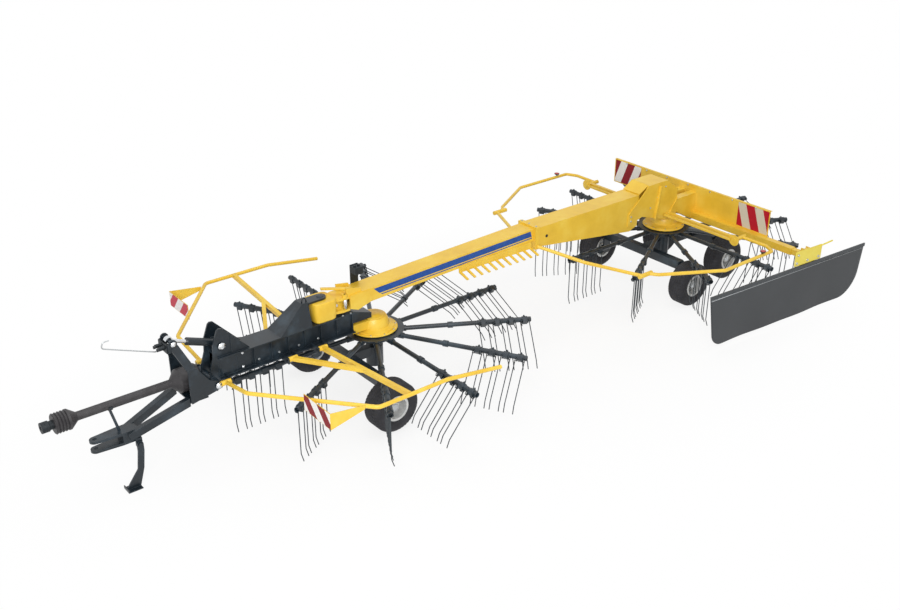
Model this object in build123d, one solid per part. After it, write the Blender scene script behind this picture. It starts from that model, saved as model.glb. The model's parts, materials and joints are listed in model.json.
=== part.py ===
from build123d import *
from math import cos, radians, sin
import os

# Twin rotor hay rake, trailed, laying one swath to the left. Millimetres.
# +X runs forward to the hitch, +Y to the left, +Z up from the ground.
# Places along X are measured from the front rotor's axis, and the whole is centred at the end.

# Clearances
RUNNING = 0.3
SIDE_PLAY = 1.0
SEAT = 0.3
PIN_HEAD = 10.0

# Wheels
TYRE_DIAMETER = 457.0
TYRE_WIDTH = 212.0
SHOULDER_DROP = 16.0
SHOULDER_WIDTH = 172.0
TREAD_WIDTH = 126.0
BEAD_LIP = 4.0
BEAD_RADIUS = 101.6
RIM_WALL = 5.0
RIM_WIDTH = 178.0
RIM_FLANGE = 16.0
DISC_WALL = 8.0
DISC_SET = 22.0
WHEEL_HUB_RADIUS = 40.0
WHEEL_HUB_REACH = 62.0
HUB_CAP = 12.0
STUB_RADIUS = 17.5
FRONT_WHEEL_X = 293.0
FRONT_WHEEL_Y = 651.0
REAR_WHEELS = ((305.0, 655.0), (-520.0, 445.0))
WHEEL_Z = TYRE_DIAMETER / 2

# Undercarriage
MAST_RADIUS = 45.0
MAST_FOOT = 250.0
BEAM_WIDTH = 80.0
BEAM_DEPTH = 90.0
BEAM_MID = 395.0
SPINDLE_PLATE = 16.0
SPINDLE_WIDTH = 100.0
SPINDLE_GAP = 14.0
BOGIE_TUBE_RADIUS = 78.0
BOGIE_TOP = 455.0

# Rotors
REAR_ROTOR_X = -3866.0
ROTOR_RADIUS = 1433.0
ARM_COUNT = 12
ARM_RADIUS = 21.0
ARM_Z = 577.0
ARM_COLLAR_AT = 690.0
ARM_COLLAR_RADIUS = 29.0
ARM_COLLAR_LENGTH = 46.0
SOCKET_RADIUS = 28.0
SOCKET_END = 290.0
HUB_BOTTOM = 505.0
HUB_DRUM_RADIUS = 165.0
HUB_RING_RADIUS = 272.0
HUB_RING_WALL = 10.0
TINE_BAR_ROOT = 1.0
TINE_BAR_RADIUS = 24.0
HOLDER_COUNT = 4
HOLDER_PITCH = 128.0
HOLDER_SIZE = 62.0
HOLDER_END = 8.0
TINE_PAIR = 82.0
TINE_WIRE = 9.0
TINE_DROP = 490.0
TIP_LENGTH = 70.0
TINE_BAR_LENGTH = HOLDER_END + 2 * TINE_WIRE + TINE_PAIR + (HOLDER_COUNT - 1) * HOLDER_PITCH + TINE_BAR_ROOT
TINE_BAR_START = ROTOR_RADIUS - TINE_BAR_LENGTH
TIP_BEND = 18.0
# The cam's tilt of each arm's tines at rest, in degrees, from the arm that points forward.
CAM_TILT = (0, 0, 0, 40, 42, 55, 62, 60, 60, 10, 10, 0)

# Gear covers
COVER_BOTTOM = 622.0
COVER_TOP = 735.0
FRONT_FLANGE_RADIUS = 185.0
REAR_FLANGE_RADIUS = 210.0
FLANGE_WALL = 12.0
DOME_BASE_RADIUS = 140.0
DOME_TOP_RADIUS = 112.0
BEAK_WIDTH = 150.0
BEAK_BOTTOM = 655.0

# Front frame
FRAME_FRONT = 1560.0
FRAME_END = 270.0
FRAME_BOTTOM = 690.0
FRAME_TOP = 880.0
WEB_HALF = 70.0
FRAME_HALF = 120.0
FRAME_WALL = 10.0
RIB_COUNT = 5
CHEEK_IN = 68.0
CHEEK_WALL = 14.0
CHEEK_LIP = 22.0
CHEEK_BOTTOM = 650.0
CHEEK_WAIST = 760.0
CHEEK_TOP = 1130.0
CHEEK_TIP_FRONT = 36.0
CHEEK_TIP_BACK = 40.0
CHEEK_BACK = 1290.0
CHEEK_ROUND = 14.0
HUMP_FOOT = 1000.0
HUMP_CREST = 720.0
HUMP_TOP = 1090.0
HUMP_BROW = 1080.0
HUMP_LEAD = 40.0
HUMP_REACH = 60.0
HUMP_LIP = 18.0
HUMP_SOCKET_TOP = 1060.0
HUMP_SOCKET_GAP = 20.0
SLOPE_EDGE = 8.0
PIVOT_X = 540.0
PIVOT_PIN_RADIUS = 32.0
BARREL_RADIUS = 115.0
BARREL_HEIGHT = 180.0
PIVOT_CAP = 18.0
PIVOT_CAP_ROOT = 45.0
PIVOT_CAP_HALF = 90.0
PIVOT_CAP_TIP = 70.0
PIVOT_CAP_TIP_HALF = 50.0
HITCH_AXIS_X = 1620.0
HITCH_AXIS_Z = 690.0
HITCH_TUBE_RADIUS = 32.0
HITCH_PIN_RADIUS = 15.0
LINK_PIN_X = 1520.0
LINK_PIN_Z = 970.0
LINK_PIN_RADIUS = 22.0

# Drawbar and headstock
HEAD_INNER = 160.0
HEAD_WALL = 12.0
HEAD_FRONT = 1862.0
HEAD_BOTTOM = 600.0
HEAD_SHOULDER = 905.0
TOP_PIN_X = 1915.0
TOP_PIN_Z = 1120.0
TOP_PIN_RADIUS = 16.0
TOP_HALF = 68.0
TOP_EAR_RADIUS = 34.0
TOP_EAR_REACH = 44.0
DRAW_TUBE_WIDTH = 50.0
DRAW_TUBE_DEPTH = 66.0
APEX_X = 2350.0
APEX_Y = 52.0
APEX_Z = 445.0
CLEVIS_HOLE_X = 2600.0
CLEVIS_HOLE_RADIUS = 16.5
CLEVIS_TIP_RADIUS = 42.0
CLEVIS_PLATE = 22.0
CLEVIS_GAP = 62.0
CLEVIS_HALF = 62.0
CLEVIS_BACK = 2270.0
CLEVIS_ROOT = 2380.0

# Drive shaft
SHAFT_Z = 745.0
SHAFT_FRONT = 2972.0
YOKE_RADIUS = 43.0
YOKE_BORE = 17.5
YOKE_LENGTH = 92.0
YOKE_FLOOR = 12.0
BELLOWS_RADIUS = 82.0
BELLOWS_LENGTH = 118.0
BELLOWS_FOLDS = 5
BELLOWS_FOLD_DEPTH = 8.0
BELLOWS_CONE = 60.0
GUARD_TUBE_RADIUS = 35.0
SHIELD_RADIUS = 100.0
SHIELD_FRONT = 1885.0
SHIELD_CONE = 60.0
SHIELD_BACK = 1715.0
HOLDER_ROD_RADIUS = 11.0
HOLDER_FOOT_X = 2400.0
HOLDER_HEAD_X = 2450.0
HOLDER_STRAP = 30.0
HOLDER_STRAP_WALL = 8.0

# Stand
STAND_X = 2290.0
STAND_Z = 372.0
STAND_Y = 92.0
STAND_WALL = 14.0
STAND_BAR = 52.0
STAND_PIN_RADIUS = 10.0
STAND_FOOT_X = 2392.0
STAND_FOOT_LENGTH = 120.0
STAND_FOOT_WIDTH = 96.0
STAND_FOOT_WALL = 8.0
STAND_LIP = 26.0

# Height cylinder
CYLINDER_RADIUS = 32.0
CYLINDER_START = 44.0
CYLINDER_END = 270.0
LINK_EYE_RADIUS = 40.0
LINK_EYE_WIDTH = 56.0
ROD_RADIUS = 15.0
ROD_EYE_RADIUS = 33.0
ROD_EYE_BORE = 22.0
ROD_EYE_WIDTH = 44.0
ROD_START = 126.0

# Hose gear on the headstock
RACK_WIDTH = 120.0
RACK_HEIGHT = 70.0
RACK_WALL = 10.0
COUPLER_RADIUS = 13.0
COUPLER_LENGTH = 55.0
COUPLER_COUNT = 4
HOOK_ROD_RADIUS = 5.0
HOOK_ROD_REACH = 430.0
HOOK_ROD_RISE = 150.0
HOOK_RADIUS = 32.0

# Boom
BOOM_HALF = 95.0
BOOM_WALL = 8.0
BOOM_FRONT_X = 300.0
BOOM_JOIN_X = -1830.0
BOOM_FRONT_BOTTOM = 920.0
BOOM_JOIN_BOTTOM = 986.0
BOOM_DEPTH = 126.0
NECK_HALF = 60.0
COLLAR_LENGTH = 50.0
COLLAR_WALL = 16.0
REAR_HALF = 112.0
REAR_END_X = -3300.0
REAR_TOP = 1112.0
REAR_END_BOTTOM = 775.0
REAR_KNEE_X = -3190.0
REAR_KNEE_BOTTOM = 735.0
COMB_START = -900.0
COMB_END = -1800.0
COMB_TEETH = 11
COMB_TOOTH = 24.0
COMB_REACH = 120.0
COMB_WALL = 8.0
COMB_DROP = 70.0
COMB_TOP = 985.0
VALVE_X = 120.0
VALVE_SIZE = 80.0
VALVE_TOP = 1235.0
VALVE_PLATE = 10.0

# Tower over the rear rotor
TOWER_WALL = 12.0
TOWER_FRONT = -3150.0
TOWER_BACK = -3900.0
TOWER_TOP = 1185.0
TOWER_FOOT_FRONT = -3745.0
TOWER_NOSE_BOTTOM = 800.0
TOWER_NOSE_TOP = 930.0
TOWER_BROW = 60.0
TOWER_CROWN = 130.0
TOWER_CROWN_BACK = 20.0
TOWER_BACK_DROP = 60.0
TOWER_CHIN = 860.0

# Rear frame, panel and curtain
PANEL_X = -4228.0
PANEL_WALL = 4.0
PANEL_HALF = 1085.0
PANEL_TOP = 1000.0
PANEL_HEIGHT = 280.0
PANEL_FLANGE = 26.0
CARRIER_HALF = 45.0
CARRIER_TOP = 930.0
CARRIER_BOTTOM = 790.0
CARRIER_Y = 80.0
CROSS_SIZE = 70.0
CROSS_WALL = 5.0
CROSS_X = -4193.0
CROSS_Z = 685.0
CROSS_RIGHT = -760.0
SLIDE_CLEAR = 0.8
SLIDE_IN = 560.0
SLIDE_OUT = 1548.0
SLIDE_SHOWS = 118.0
CROSS_LEFT = SLIDE_OUT - SLIDE_SHOWS
HOLDER_PLATE_WALL = 10.0
HOLDER_PLATE_LENGTH = 220.0
HOLDER_PLATE_HEIGHT = 114.0
CURTAIN_HINGE_RISE = 58.0
CURTAIN_HINGE_GAP = 6.0
CURTAIN_HINGE_RADIUS = 12.0
CURTAIN_BUSH_RADIUS = 25.0
CURTAIN_LUG_END = 15.0
CURTAIN_BUSH_LENGTH = 60.0
CURTAIN_YAW = 4.2
CURTAIN_FRONT = 1398.0
CURTAIN_BACK = 907.0
CURTAIN_TOP = 622.0
CURTAIN_BOTTOM = 62.0
CURTAIN_WALL = 6.0
CURTAIN_FRONT_ROUND = 120.0
CURTAIN_BACK_ROUND = 250.0
CURTAIN_BACK_SLANT = 70.0
RAIL_DEPTH = 34.0
RAIL_WALL = 8.0

# Guards
GUARD_RADIUS = 17.0
GUARD_BEND = 70.0
GUARD_ARM = 36.0
GUARD_Z = 800.0
GUARD_Y = 1385.0
GUARD_NOSE_X = 1575.0
GUARD_NOSE_LEAD = 14.0
GUARD_KNEE_Y = 590.0
GUARD_CORNER_X = 920.0
GUARD_TAIL_X = -290.0
GUARD_TAIL_DROP = 85.0
GUARD_HINGE_Y = 215.0
GUARD_HINGE_Z = 720.0
GUARD_PIN_RADIUS = 10.0
GUARD_BUSH_RADIUS = 22.0
GUARD_BUSH_LENGTH = 84.0
GUARD_ARM_X = (670.0, 960.0)
LUG_WALL = 12.0
SIGN_IN = 955.0
SIGN_OUT = 1320.0
SIGN_TOP = 862.0
SIGN_HEIGHT = 141.0
SIGN_WALL = 4.0
REAR_GUARD_Y = 1450.0
REAR_FOLD_Y = 1040.0
REAR_ARM_X = -3770.0
REAR_CLAMP_X = -2400.0
REAR_CLAMP_LEAD = 40.0
REAR_TUBE_START_Z = 930.0
REAR_TUBE_STEP = 60.0
REAR_TUBE_STEP_Z = 905.0
REAR_TUBE_KNEE = (-2120.0, 520.0, 822.0)
REAR_TRIM = 200.0
REAR_LOOP_LEAD = (60.0, 80.0)
REAR_LOOP_SHOULDER_X = -3070.0
REAR_LOOP_CORNER = (60.0, 120.0)
REAR_LOOP_BEND = 42.0
GUARD_BREAK_X = 260.0
GUARD_TIP_X = 630.0
GUARD_BRACE_X = 650.0
GUARD_BRACE_Y = 800.0


def spot(x, z):
    """A place in the middle plane."""
    return Vector(x, 0, z)


def member(start, end, profile, up=(0, 0, 1)):
    """Straight member: a flat profile carried from start to end, its second side turned towards up."""
    first = Vector(start)
    along = Vector(end) - first
    plane = Plane(origin=first, x_dir=Vector(up).cross(along), z_dir=along)
    return extrude(plane * profile, along.length)


def rod(start, end, radius):
    """Round bar from start to end."""
    first = Vector(start)
    along = Vector(end) - first
    return extrude(Plane(origin=first, z_dir=along) * Circle(radius), along.length)


def ring(start, end, outer, inner):
    """Round tube from start to end."""
    first = Vector(start)
    along = Vector(end) - first
    return extrude(Plane(origin=first, z_dir=along) * (Circle(outer) - Circle(inner)), along.length)


def bent_tube(points, radius, bend):
    """Round bar along straight runs joined by arcs."""
    path = FilletPolyline(*points, radius=bend)
    return sweep(Plane(origin=path @ 0, z_dir=path % 0) * Circle(radius), path=path)


def outline(points, corner=0.0):
    """Flat face inside a run of points, its corners rounded where a corner radius is given."""
    face = make_face(Polyline(*points, close=True))
    return fillet(face.vertices(), corner) if corner else face


def upright(face, y_low, y_high):
    """Plate that stands lengthwise: a face of (x, z) points between two places across."""
    plane = Plane(origin=(0, y_high, 0), x_dir=(1, 0, 0), z_dir=(0, -1, 0))
    return extrude(plane * face, y_high - y_low)


def level(face, z_low, z_high):
    """Plate that lies flat: a face of (x, y) points between two heights."""
    return extrude(Plane.XY.offset(z_low) * face, z_high - z_low)


def across(face, x_low, x_high):
    """Plate that stands crosswise: a face of (y, z) points between two places along."""
    return extrude(Plane.YZ.offset(x_low) * face, x_high - x_low)


def block(x_low, x_high, y_low, y_high, z_low, z_high):
    """Square bar between three pairs of limits."""
    centre = ((x_low + x_high) / 2, (y_low + y_high) / 2, (z_low + z_high) / 2)
    return Pos(*centre) * Box(x_high - x_low, y_high - y_low, z_high - z_low)


def both(shape):
    """A shape and its mirror image on the other side of the machine."""
    return [shape, mirror(shape, about=Plane.XZ)]


def tyre():
    """Revolved section: beads behind the rim's flanges, bulging walls, rounded shoulders and a flat tread."""
    bead = BEAD_RADIUS + SEAT
    bead_half = RIM_WIDTH / 2 - RIM_WALL - SEAT
    wall_foot = BEAD_RADIUS + RIM_FLANGE + BEAD_LIP
    crown = TYRE_DIAMETER / 2
    shoulder = crown - SHOULDER_DROP
    wall = (wall_foot + shoulder) / 2
    tread = TREAD_WIDTH / 2
    edge = SHOULDER_WIDTH / 2
    round_at = (crown - SHOULDER_DROP * 0.3, (tread + edge) / 2)
    half = [
        Polyline((crown, 0), (crown, tread)),
        ThreePointArc((crown, tread), round_at, (shoulder, edge)),
        ThreePointArc((shoulder, edge), (wall, TYRE_WIDTH / 2), (wall_foot, bead_half)),
        Polyline((wall_foot, bead_half), (bead, bead_half), (bead, 0), (crown, 0)),
    ]
    section = make_face(half)
    return revolve(section + mirror(section, about=Plane.XZ), Axis.Y)


def rim():
    """Revolved section: barrel with two flanges, dished disc and hub with a capped bore; outside at +Y."""
    half = RIM_WIDTH / 2
    inner = BEAD_RADIUS - RIM_WALL
    flange = BEAD_RADIUS + RIM_FLANGE
    barrel = outline([(inner, -half), (inner, half), (BEAD_RADIUS, half), (BEAD_RADIUS, -half)])
    lips = [
        outline([(inner, side * half), (flange, side * half), (flange, side * (half - RIM_WALL)),
                 (inner, side * (half - RIM_WALL))])
        for side in (1, -1)
    ]
    bore = STUB_RADIUS + RUNNING
    reach = WHEEL_HUB_REACH
    hub = outline([(0, reach), (WHEEL_HUB_RADIUS, reach), (WHEEL_HUB_RADIUS, -reach), (bore, -reach),
                   (bore, reach - HUB_CAP), (0, reach - HUB_CAP)])
    disc = outline([(WHEEL_HUB_RADIUS, DISC_SET), (inner, 0), (inner, -DISC_WALL),
                    (WHEEL_HUB_RADIUS, DISC_SET - DISC_WALL)])
    return revolve(barrel + lips[0] + lips[1] + hub + disc, Axis.Y)


def stub(x, y):
    """Stub axle from a spindle plate into the wheel's hub, on the side that y is on."""
    side = 1 if y > 0 else -1
    start = abs(y) - TYRE_WIDTH / 2 - SPINDLE_GAP - SPINDLE_PLATE
    end = abs(y) + WHEEL_HUB_REACH - HUB_CAP - SIDE_PLAY
    return rod((x, side * start, WHEEL_Z), (x, side * end, WHEEL_Z), STUB_RADIUS)


def spindle_leg(x, y):
    """Upright plate beside a wheel, from the beam down to the stub axle, with the stub."""
    side = 1 if y > 0 else -1
    outer = abs(y) - TYRE_WIDTH / 2 - SPINDLE_GAP
    inner = outer - SPINDLE_PLATE
    half = SPINDLE_WIDTH / 2
    top = BEAM_MID + BEAM_DEPTH / 2
    foot = WHEEL_Z - half
    face = outline([(x - half, foot), (x + half, foot), (x + half, top), (x - half, top)], half / 2)
    low, high = sorted((side * inner, side * outer))
    return upright(face, low, high) + stub(x, y)


def axle(x, y):
    """Beam from the mast to a place along X, and the cross beam there with a spindle leg at each end."""
    reach = y - TYRE_WIDTH / 2 - SPINDLE_GAP - SPINDLE_PLATE / 2
    profile = Rectangle(BEAM_WIDTH, BEAM_DEPTH)
    body = member((0, 0, BEAM_MID), (x, 0, BEAM_MID), profile)
    body += member((x, -reach, BEAM_MID), (x, reach, BEAM_MID), profile)
    return body + spindle_leg(x, y) + spindle_leg(x, -y)


def front_axle():
    """Mast with the front axle ahead of its foot."""
    body = rod((0, 0, MAST_FOOT), (0, 0, COVER_BOTTOM), MAST_RADIUS)
    body += rod((0, 0, MAST_FOOT), (0, 0, BEAM_MID + BEAM_DEPTH / 2), BOGIE_TUBE_RADIUS)
    return body + axle(FRONT_WHEEL_X, FRONT_WHEEL_Y)


def rear_mast():
    """Mast that the rear bogie turns on, with the collar that rests on the bogie's tube."""
    shaft = rod((REAR_ROTOR_X, 0, MAST_FOOT), (REAR_ROTOR_X, 0, COVER_BOTTOM), MAST_RADIUS)
    low = BOGIE_TOP + SIDE_PLAY
    collar = rod((REAR_ROTOR_X, 0, low), (REAR_ROTOR_X, 0, HUB_BOTTOM - SIDE_PLAY), BOGIE_TUBE_RADIUS)
    return shaft + collar


def rear_bogie():
    """Tube round the mast with a spindle leg for each of the four wheels, two ahead and two behind."""
    body = rod((0, 0, MAST_FOOT), (0, 0, BOGIE_TOP), BOGIE_TUBE_RADIUS)
    for x, y in REAR_WHEELS:
        body += axle(x, y)
    body -= rod((0, 0, 0), (0, 0, BOGIE_TOP * 2), MAST_RADIUS + RUNNING)
    return Pos(REAR_ROTOR_X, 0, 0) * body


def arm_line(distance):
    """Place on the centre line of the arm that points forward, at a distance from the rotor's axis."""
    return Vector(distance, 0, ARM_Z)


def around(shape):
    """One copy of a shape for each arm of a rotor."""
    return [Rot(0, 0, 360 / ARM_COUNT * turn) * shape for turn in range(ARM_COUNT)]


def rotor_hub():
    """Drum with a bearing bore, a top ring and one socket for each arm."""
    ring_top = ARM_Z + SOCKET_RADIUS
    bore = MAST_RADIUS + RUNNING
    section = outline([(bore, HUB_BOTTOM), (HUB_DRUM_RADIUS * 0.72, HUB_BOTTOM),
                       (HUB_DRUM_RADIUS, HUB_BOTTOM + 22), (HUB_DRUM_RADIUS, ring_top - HUB_RING_WALL),
                       (HUB_RING_RADIUS, ring_top - HUB_RING_WALL), (HUB_RING_RADIUS, ring_top),
                       (bore, ring_top)])
    hub = revolve(Plane.XZ * section, Axis.Z)
    start = HUB_DRUM_RADIUS - SOCKET_RADIUS
    socket = rod((start, 0, ARM_Z), (SOCKET_END, 0, ARM_Z), SOCKET_RADIUS)
    for copy in around(socket):
        hub += copy
    return hub


def rotor_arm():
    """Round arm from its socket to the tine bar, with the collar half way."""
    arm = rod(arm_line(SOCKET_END), arm_line(TINE_BAR_START), ARM_RADIUS)
    start = ARM_COLLAR_AT - ARM_COLLAR_LENGTH / 2
    return arm + rod(arm_line(start), arm_line(start + ARM_COLLAR_LENGTH), ARM_COLLAR_RADIUS)


def tine(distance):
    """Square wire that hangs below the bar, its tip bent forward, at a distance along the bar."""
    knee = TINE_DROP - TIP_LENGTH * cos(radians(TIP_BEND))
    path = Polyline((distance, 0, 0), (distance, 0, -knee), (distance, TIP_LENGTH * sin(radians(TIP_BEND)),
                                                             -TINE_DROP))
    return sweep(Plane(origin=(distance, 0, 0), z_dir=(0, 0, -1)) * Rectangle(TINE_WIRE, TINE_WIRE), path=path,
                 transition=Transition.RIGHT)


def tine_bar():
    """Round bar with its clamped holders, a pair of tines in each, laid along X from its inner end."""
    length = TINE_BAR_LENGTH
    bar = rod((0, 0, 0), (length, 0, 0), TINE_BAR_RADIUS)
    for place in range(HOLDER_COUNT):
        wire = TINE_WIRE
        last = length - HOLDER_END - wire - place * HOLDER_PITCH
        first = last - TINE_PAIR
        bar += block(first - wire, last + wire, -HOLDER_SIZE / 2, HOLDER_SIZE / 2, -HOLDER_SIZE / 2, 0)
        bar += tine(first)
        bar += tine(last)
    return bar


def tine_bars():
    """The tine bars of one rotor, each turned on its arm by the cam."""
    start = arm_line(TINE_BAR_START)
    bar = tine_bar()
    turned = []
    for arm, tilt in enumerate(CAM_TILT):
        turned.append(Rot(0, 0, 360 / ARM_COUNT * arm) * Pos(*start) * Rot(-tilt, 0, 0) * bar)
    return turned


def gear_cover(flange_radius):
    """Domed housing: flange, stepped brim and tapered dome, closed inside."""
    step = COVER_BOTTOM + FLANGE_WALL
    brow = step + (COVER_TOP - step) * 0.55
    section = make_face(
        [
            Polyline((0, COVER_TOP), (0, COVER_BOTTOM), (flange_radius, COVER_BOTTOM), (flange_radius, step),
                     (DOME_BASE_RADIUS + 16, step + 8), (DOME_BASE_RADIUS, step + 14)),
            ThreePointArc((DOME_BASE_RADIUS, step + 14), (DOME_BASE_RADIUS - 6, brow), (DOME_TOP_RADIUS, COVER_TOP)),
            Line((DOME_TOP_RADIUS, COVER_TOP), (0, COVER_TOP)),
        ]
    )
    return revolve(Plane.XZ * section, Axis.Z)


def front_cover():
    """Gear cover with the nose that bolts to the frame's end."""
    half = BEAK_WIDTH / 2
    return gear_cover(FRONT_FLANGE_RADIUS) + block(0, FRAME_END, -half, half, BEAK_BOTTOM, COVER_TOP)


def front_frame():
    """Welded beam with flanges and ribs, cheeks at the hitch, the hump and the boom's pivot pin."""
    low, high = FRAME_BOTTOM, FRAME_TOP
    wall = FRAME_WALL
    frame = block(FRAME_END, FRAME_FRONT, -WEB_HALF, WEB_HALF, low, high)
    frame += block(FRAME_END, FRAME_FRONT, -FRAME_HALF, FRAME_HALF, low, low + wall)
    frame += block(FRAME_END, FRAME_FRONT, -FRAME_HALF, FRAME_HALF, high - wall, high)
    for number in range(RIB_COUNT):
        x = FRAME_END + (FRAME_FRONT - FRAME_END - wall) * number / (RIB_COUNT - 1)
        frame += block(x, x + wall, -FRAME_HALF, FRAME_HALF, low, high)
    lip = HITCH_AXIS_X + CHEEK_LIP
    cheek = outline([(lip, CHEEK_BOTTOM), (lip, CHEEK_WAIST), (LINK_PIN_X + CHEEK_TIP_FRONT, CHEEK_TOP),
                     (LINK_PIN_X - CHEEK_TIP_BACK, CHEEK_TOP), (CHEEK_BACK, high), (CHEEK_BACK, low),
                     (FRAME_FRONT, CHEEK_BOTTOM)], CHEEK_ROUND)
    brow = HUMP_CREST + HUMP_LEAD
    socket = PIVOT_X + BARREL_RADIUS + HUMP_SOCKET_GAP
    reach = PIVOT_X + HUMP_REACH
    for side in (1, -1):
        inner, outer = sorted((side * CHEEK_IN, side * (CHEEK_IN + CHEEK_WALL)))
        frame += upright(cheek, inner, outer)
        hump = outline([(HUMP_FOOT, high), (brow, HUMP_BROW), (reach, HUMP_TOP), (reach, HUMP_TOP - HUMP_LIP),
                        (socket, HUMP_SOCKET_TOP), (socket, high)])
        inner, outer = sorted((side * (FRAME_HALF - wall), side * FRAME_HALF))
        frame += upright(hump, inner, outer)
    slope = outline([(HUMP_FOOT, high - wall), (HUMP_FOOT, high), (brow, HUMP_TOP),
                     (brow - wall, HUMP_TOP - SLOPE_EDGE)])
    frame += upright(slope, -FRAME_HALF, FRAME_HALF)
    barrel_low = high + SIDE_PLAY
    cap_low = barrel_low + BARREL_HEIGHT + SIDE_PLAY
    root = HUMP_CREST + PIVOT_CAP_ROOT
    tip = PIVOT_X - PIVOT_CAP_TIP
    cap = outline([(root, -FRAME_HALF), (root, FRAME_HALF), (PIVOT_X, PIVOT_CAP_HALF), (tip, PIVOT_CAP_TIP_HALF),
                   (tip, -PIVOT_CAP_TIP_HALF), (PIVOT_X, -PIVOT_CAP_HALF)])
    frame += level(cap, cap_low, cap_low + PIVOT_CAP)
    frame += rod((PIVOT_X, 0, high - wall), (PIVOT_X, 0, cap_low + PIVOT_CAP + PIN_HEAD), PIVOT_PIN_RADIUS)
    hitch = HEAD_INNER - SIDE_PLAY
    frame += rod((HITCH_AXIS_X, -hitch, HITCH_AXIS_Z), (HITCH_AXIS_X, hitch, HITCH_AXIS_Z), HITCH_TUBE_RADIUS)
    pin = HEAD_INNER + HEAD_WALL + SIDE_PLAY + PIN_HEAD
    frame += rod((HITCH_AXIS_X, -pin, HITCH_AXIS_Z), (HITCH_AXIS_X, pin, HITCH_AXIS_Z), HITCH_PIN_RADIUS)
    for side in (1, -1):
        frame += rod((HITCH_AXIS_X, side * (pin - PIN_HEAD), HITCH_AXIS_Z), (HITCH_AXIS_X, side * pin, HITCH_AXIS_Z),
                     HITCH_PIN_RADIUS * 1.5)
    link = CHEEK_IN + CHEEK_WALL + PIN_HEAD
    frame += rod((LINK_PIN_X, -link, LINK_PIN_Z), (LINK_PIN_X, link, LINK_PIN_Z), LINK_PIN_RADIUS)
    for side in (1, -1):
        frame += guard_lugs(side)
    return frame


def guard_lugs(side):
    """Lugs and pins on one side of the frame that the front guard turns on."""
    outer = GUARD_HINGE_Y + GUARD_BUSH_RADIUS
    half = GUARD_BUSH_LENGTH / 2 + SIDE_PLAY
    low, high = sorted((side * (FRAME_HALF - FRAME_WALL), side * outer))
    lugs = Part()
    first, last = GUARD_ARM_X
    places = (first - half - LUG_WALL, first + half, last - half - LUG_WALL, last + half,
              GUARD_NOSE_X - half - LUG_WALL)
    for x in places:
        lugs += block(x, x + LUG_WALL, low, high, FRAME_BOTTOM, GUARD_HINGE_Z + GUARD_BUSH_RADIUS)
    runs = ((places[0], places[1] + LUG_WALL), (places[2], places[3] + LUG_WALL),
            (places[4], GUARD_NOSE_X + half))
    for start, end in runs:
        hinge = side * GUARD_HINGE_Y
        lugs += rod((start, hinge, GUARD_HINGE_Z), (end, hinge, GUARD_HINGE_Z), GUARD_PIN_RADIUS)
    return lugs


def headstock():
    """Two side plates with a floor between them, and the legs that lean in to the top pin."""
    outer = HEAD_INNER + HEAD_WALL
    foot = [(HITCH_AXIS_X - 34, HITCH_AXIS_Z - 30), (HITCH_AXIS_X + 10, HITCH_AXIS_Z - 42),
            (HEAD_FRONT, HEAD_BOTTOM), (HEAD_FRONT, HEAD_SHOULDER), (HEAD_FRONT - 70, HEAD_SHOULDER),
            (HITCH_AXIS_X + 70, HITCH_AXIS_Z + 70), (HITCH_AXIS_X - 10, HITCH_AXIS_Z + 36),
            (HITCH_AXIS_X - 34, HITCH_AXIS_Z + 20)]
    body = block(HITCH_AXIS_X + 90, HEAD_FRONT, -HEAD_INNER, HEAD_INNER, HEAD_BOTTOM + 6, HEAD_BOTTOM + 18)
    pin_hole = HITCH_PIN_RADIUS + RUNNING
    for side in (1, -1):
        low, high = sorted((side * HEAD_INNER, side * outer))
        body += upright(outline(foot, 10), low, high)
        body -= rod((HITCH_AXIS_X, low - 1, HITCH_AXIS_Z), (HITCH_AXIS_X, high + 1, HITCH_AXIS_Z), pin_hole)
        body += head_leg(side)
    ear = TOP_HALF + HEAD_WALL + PIN_HEAD
    return body + rod((TOP_PIN_X, -ear, TOP_PIN_Z), (TOP_PIN_X, ear, TOP_PIN_Z), TOP_PIN_RADIUS)


def drawbar():
    """Two tubes from the headstock's front to the block at their apex, with the stand's ear."""
    tall = CLEVIS_GAP / 2 + CLEVIS_PLATE
    body = block(CLEVIS_BACK, CLEVIS_ROOT, -CLEVIS_HALF, CLEVIS_HALF, APEX_Z - tall, APEX_Z + tall)
    tube = Rectangle(DRAW_TUBE_WIDTH, DRAW_TUBE_DEPTH)
    for side in (1, -1):
        start = Vector(HEAD_FRONT - DRAW_TUBE_DEPTH, side * (HEAD_INNER - DRAW_TUBE_WIDTH / 2),
                       HEAD_BOTTOM + DRAW_TUBE_DEPTH / 2)
        body += member(start, (APEX_X, side * APEX_Y, APEX_Z), tube)
    body -= block(0, HEAD_FRONT, -2 * HEAD_INNER, 2 * HEAD_INNER, 0, 2 * HEAD_SHOULDER)
    return body + stand_bracket()


def head_leg(side):
    """One leg of the headstock, leaning in from the side plate's shoulder to the ear of the top pin."""
    bend = Vector(HEAD_FRONT - 35, side * (HEAD_INNER + HEAD_WALL / 2), HEAD_SHOULDER - HEAD_WALL)
    knee = Vector(TOP_PIN_X - 8, side * (TOP_HALF + HEAD_WALL / 2), TOP_PIN_Z - TOP_EAR_RADIUS)
    leg = member(bend, knee, Rectangle(HEAD_WALL, 2 * TOP_EAR_RADIUS), up=(1, 0, 0))
    inner, outer = sorted((side * TOP_HALF, side * (TOP_HALF + HEAD_WALL)))
    ear = rod((TOP_PIN_X, inner, TOP_PIN_Z), (TOP_PIN_X, outer, TOP_PIN_Z), TOP_EAR_RADIUS)
    reach = TOP_EAR_RADIUS
    web = block(TOP_PIN_X - reach, TOP_PIN_X + TOP_EAR_REACH, inner, outer, TOP_PIN_Z - RACK_HEIGHT, TOP_PIN_Z)
    return leg + ear + web


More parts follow.
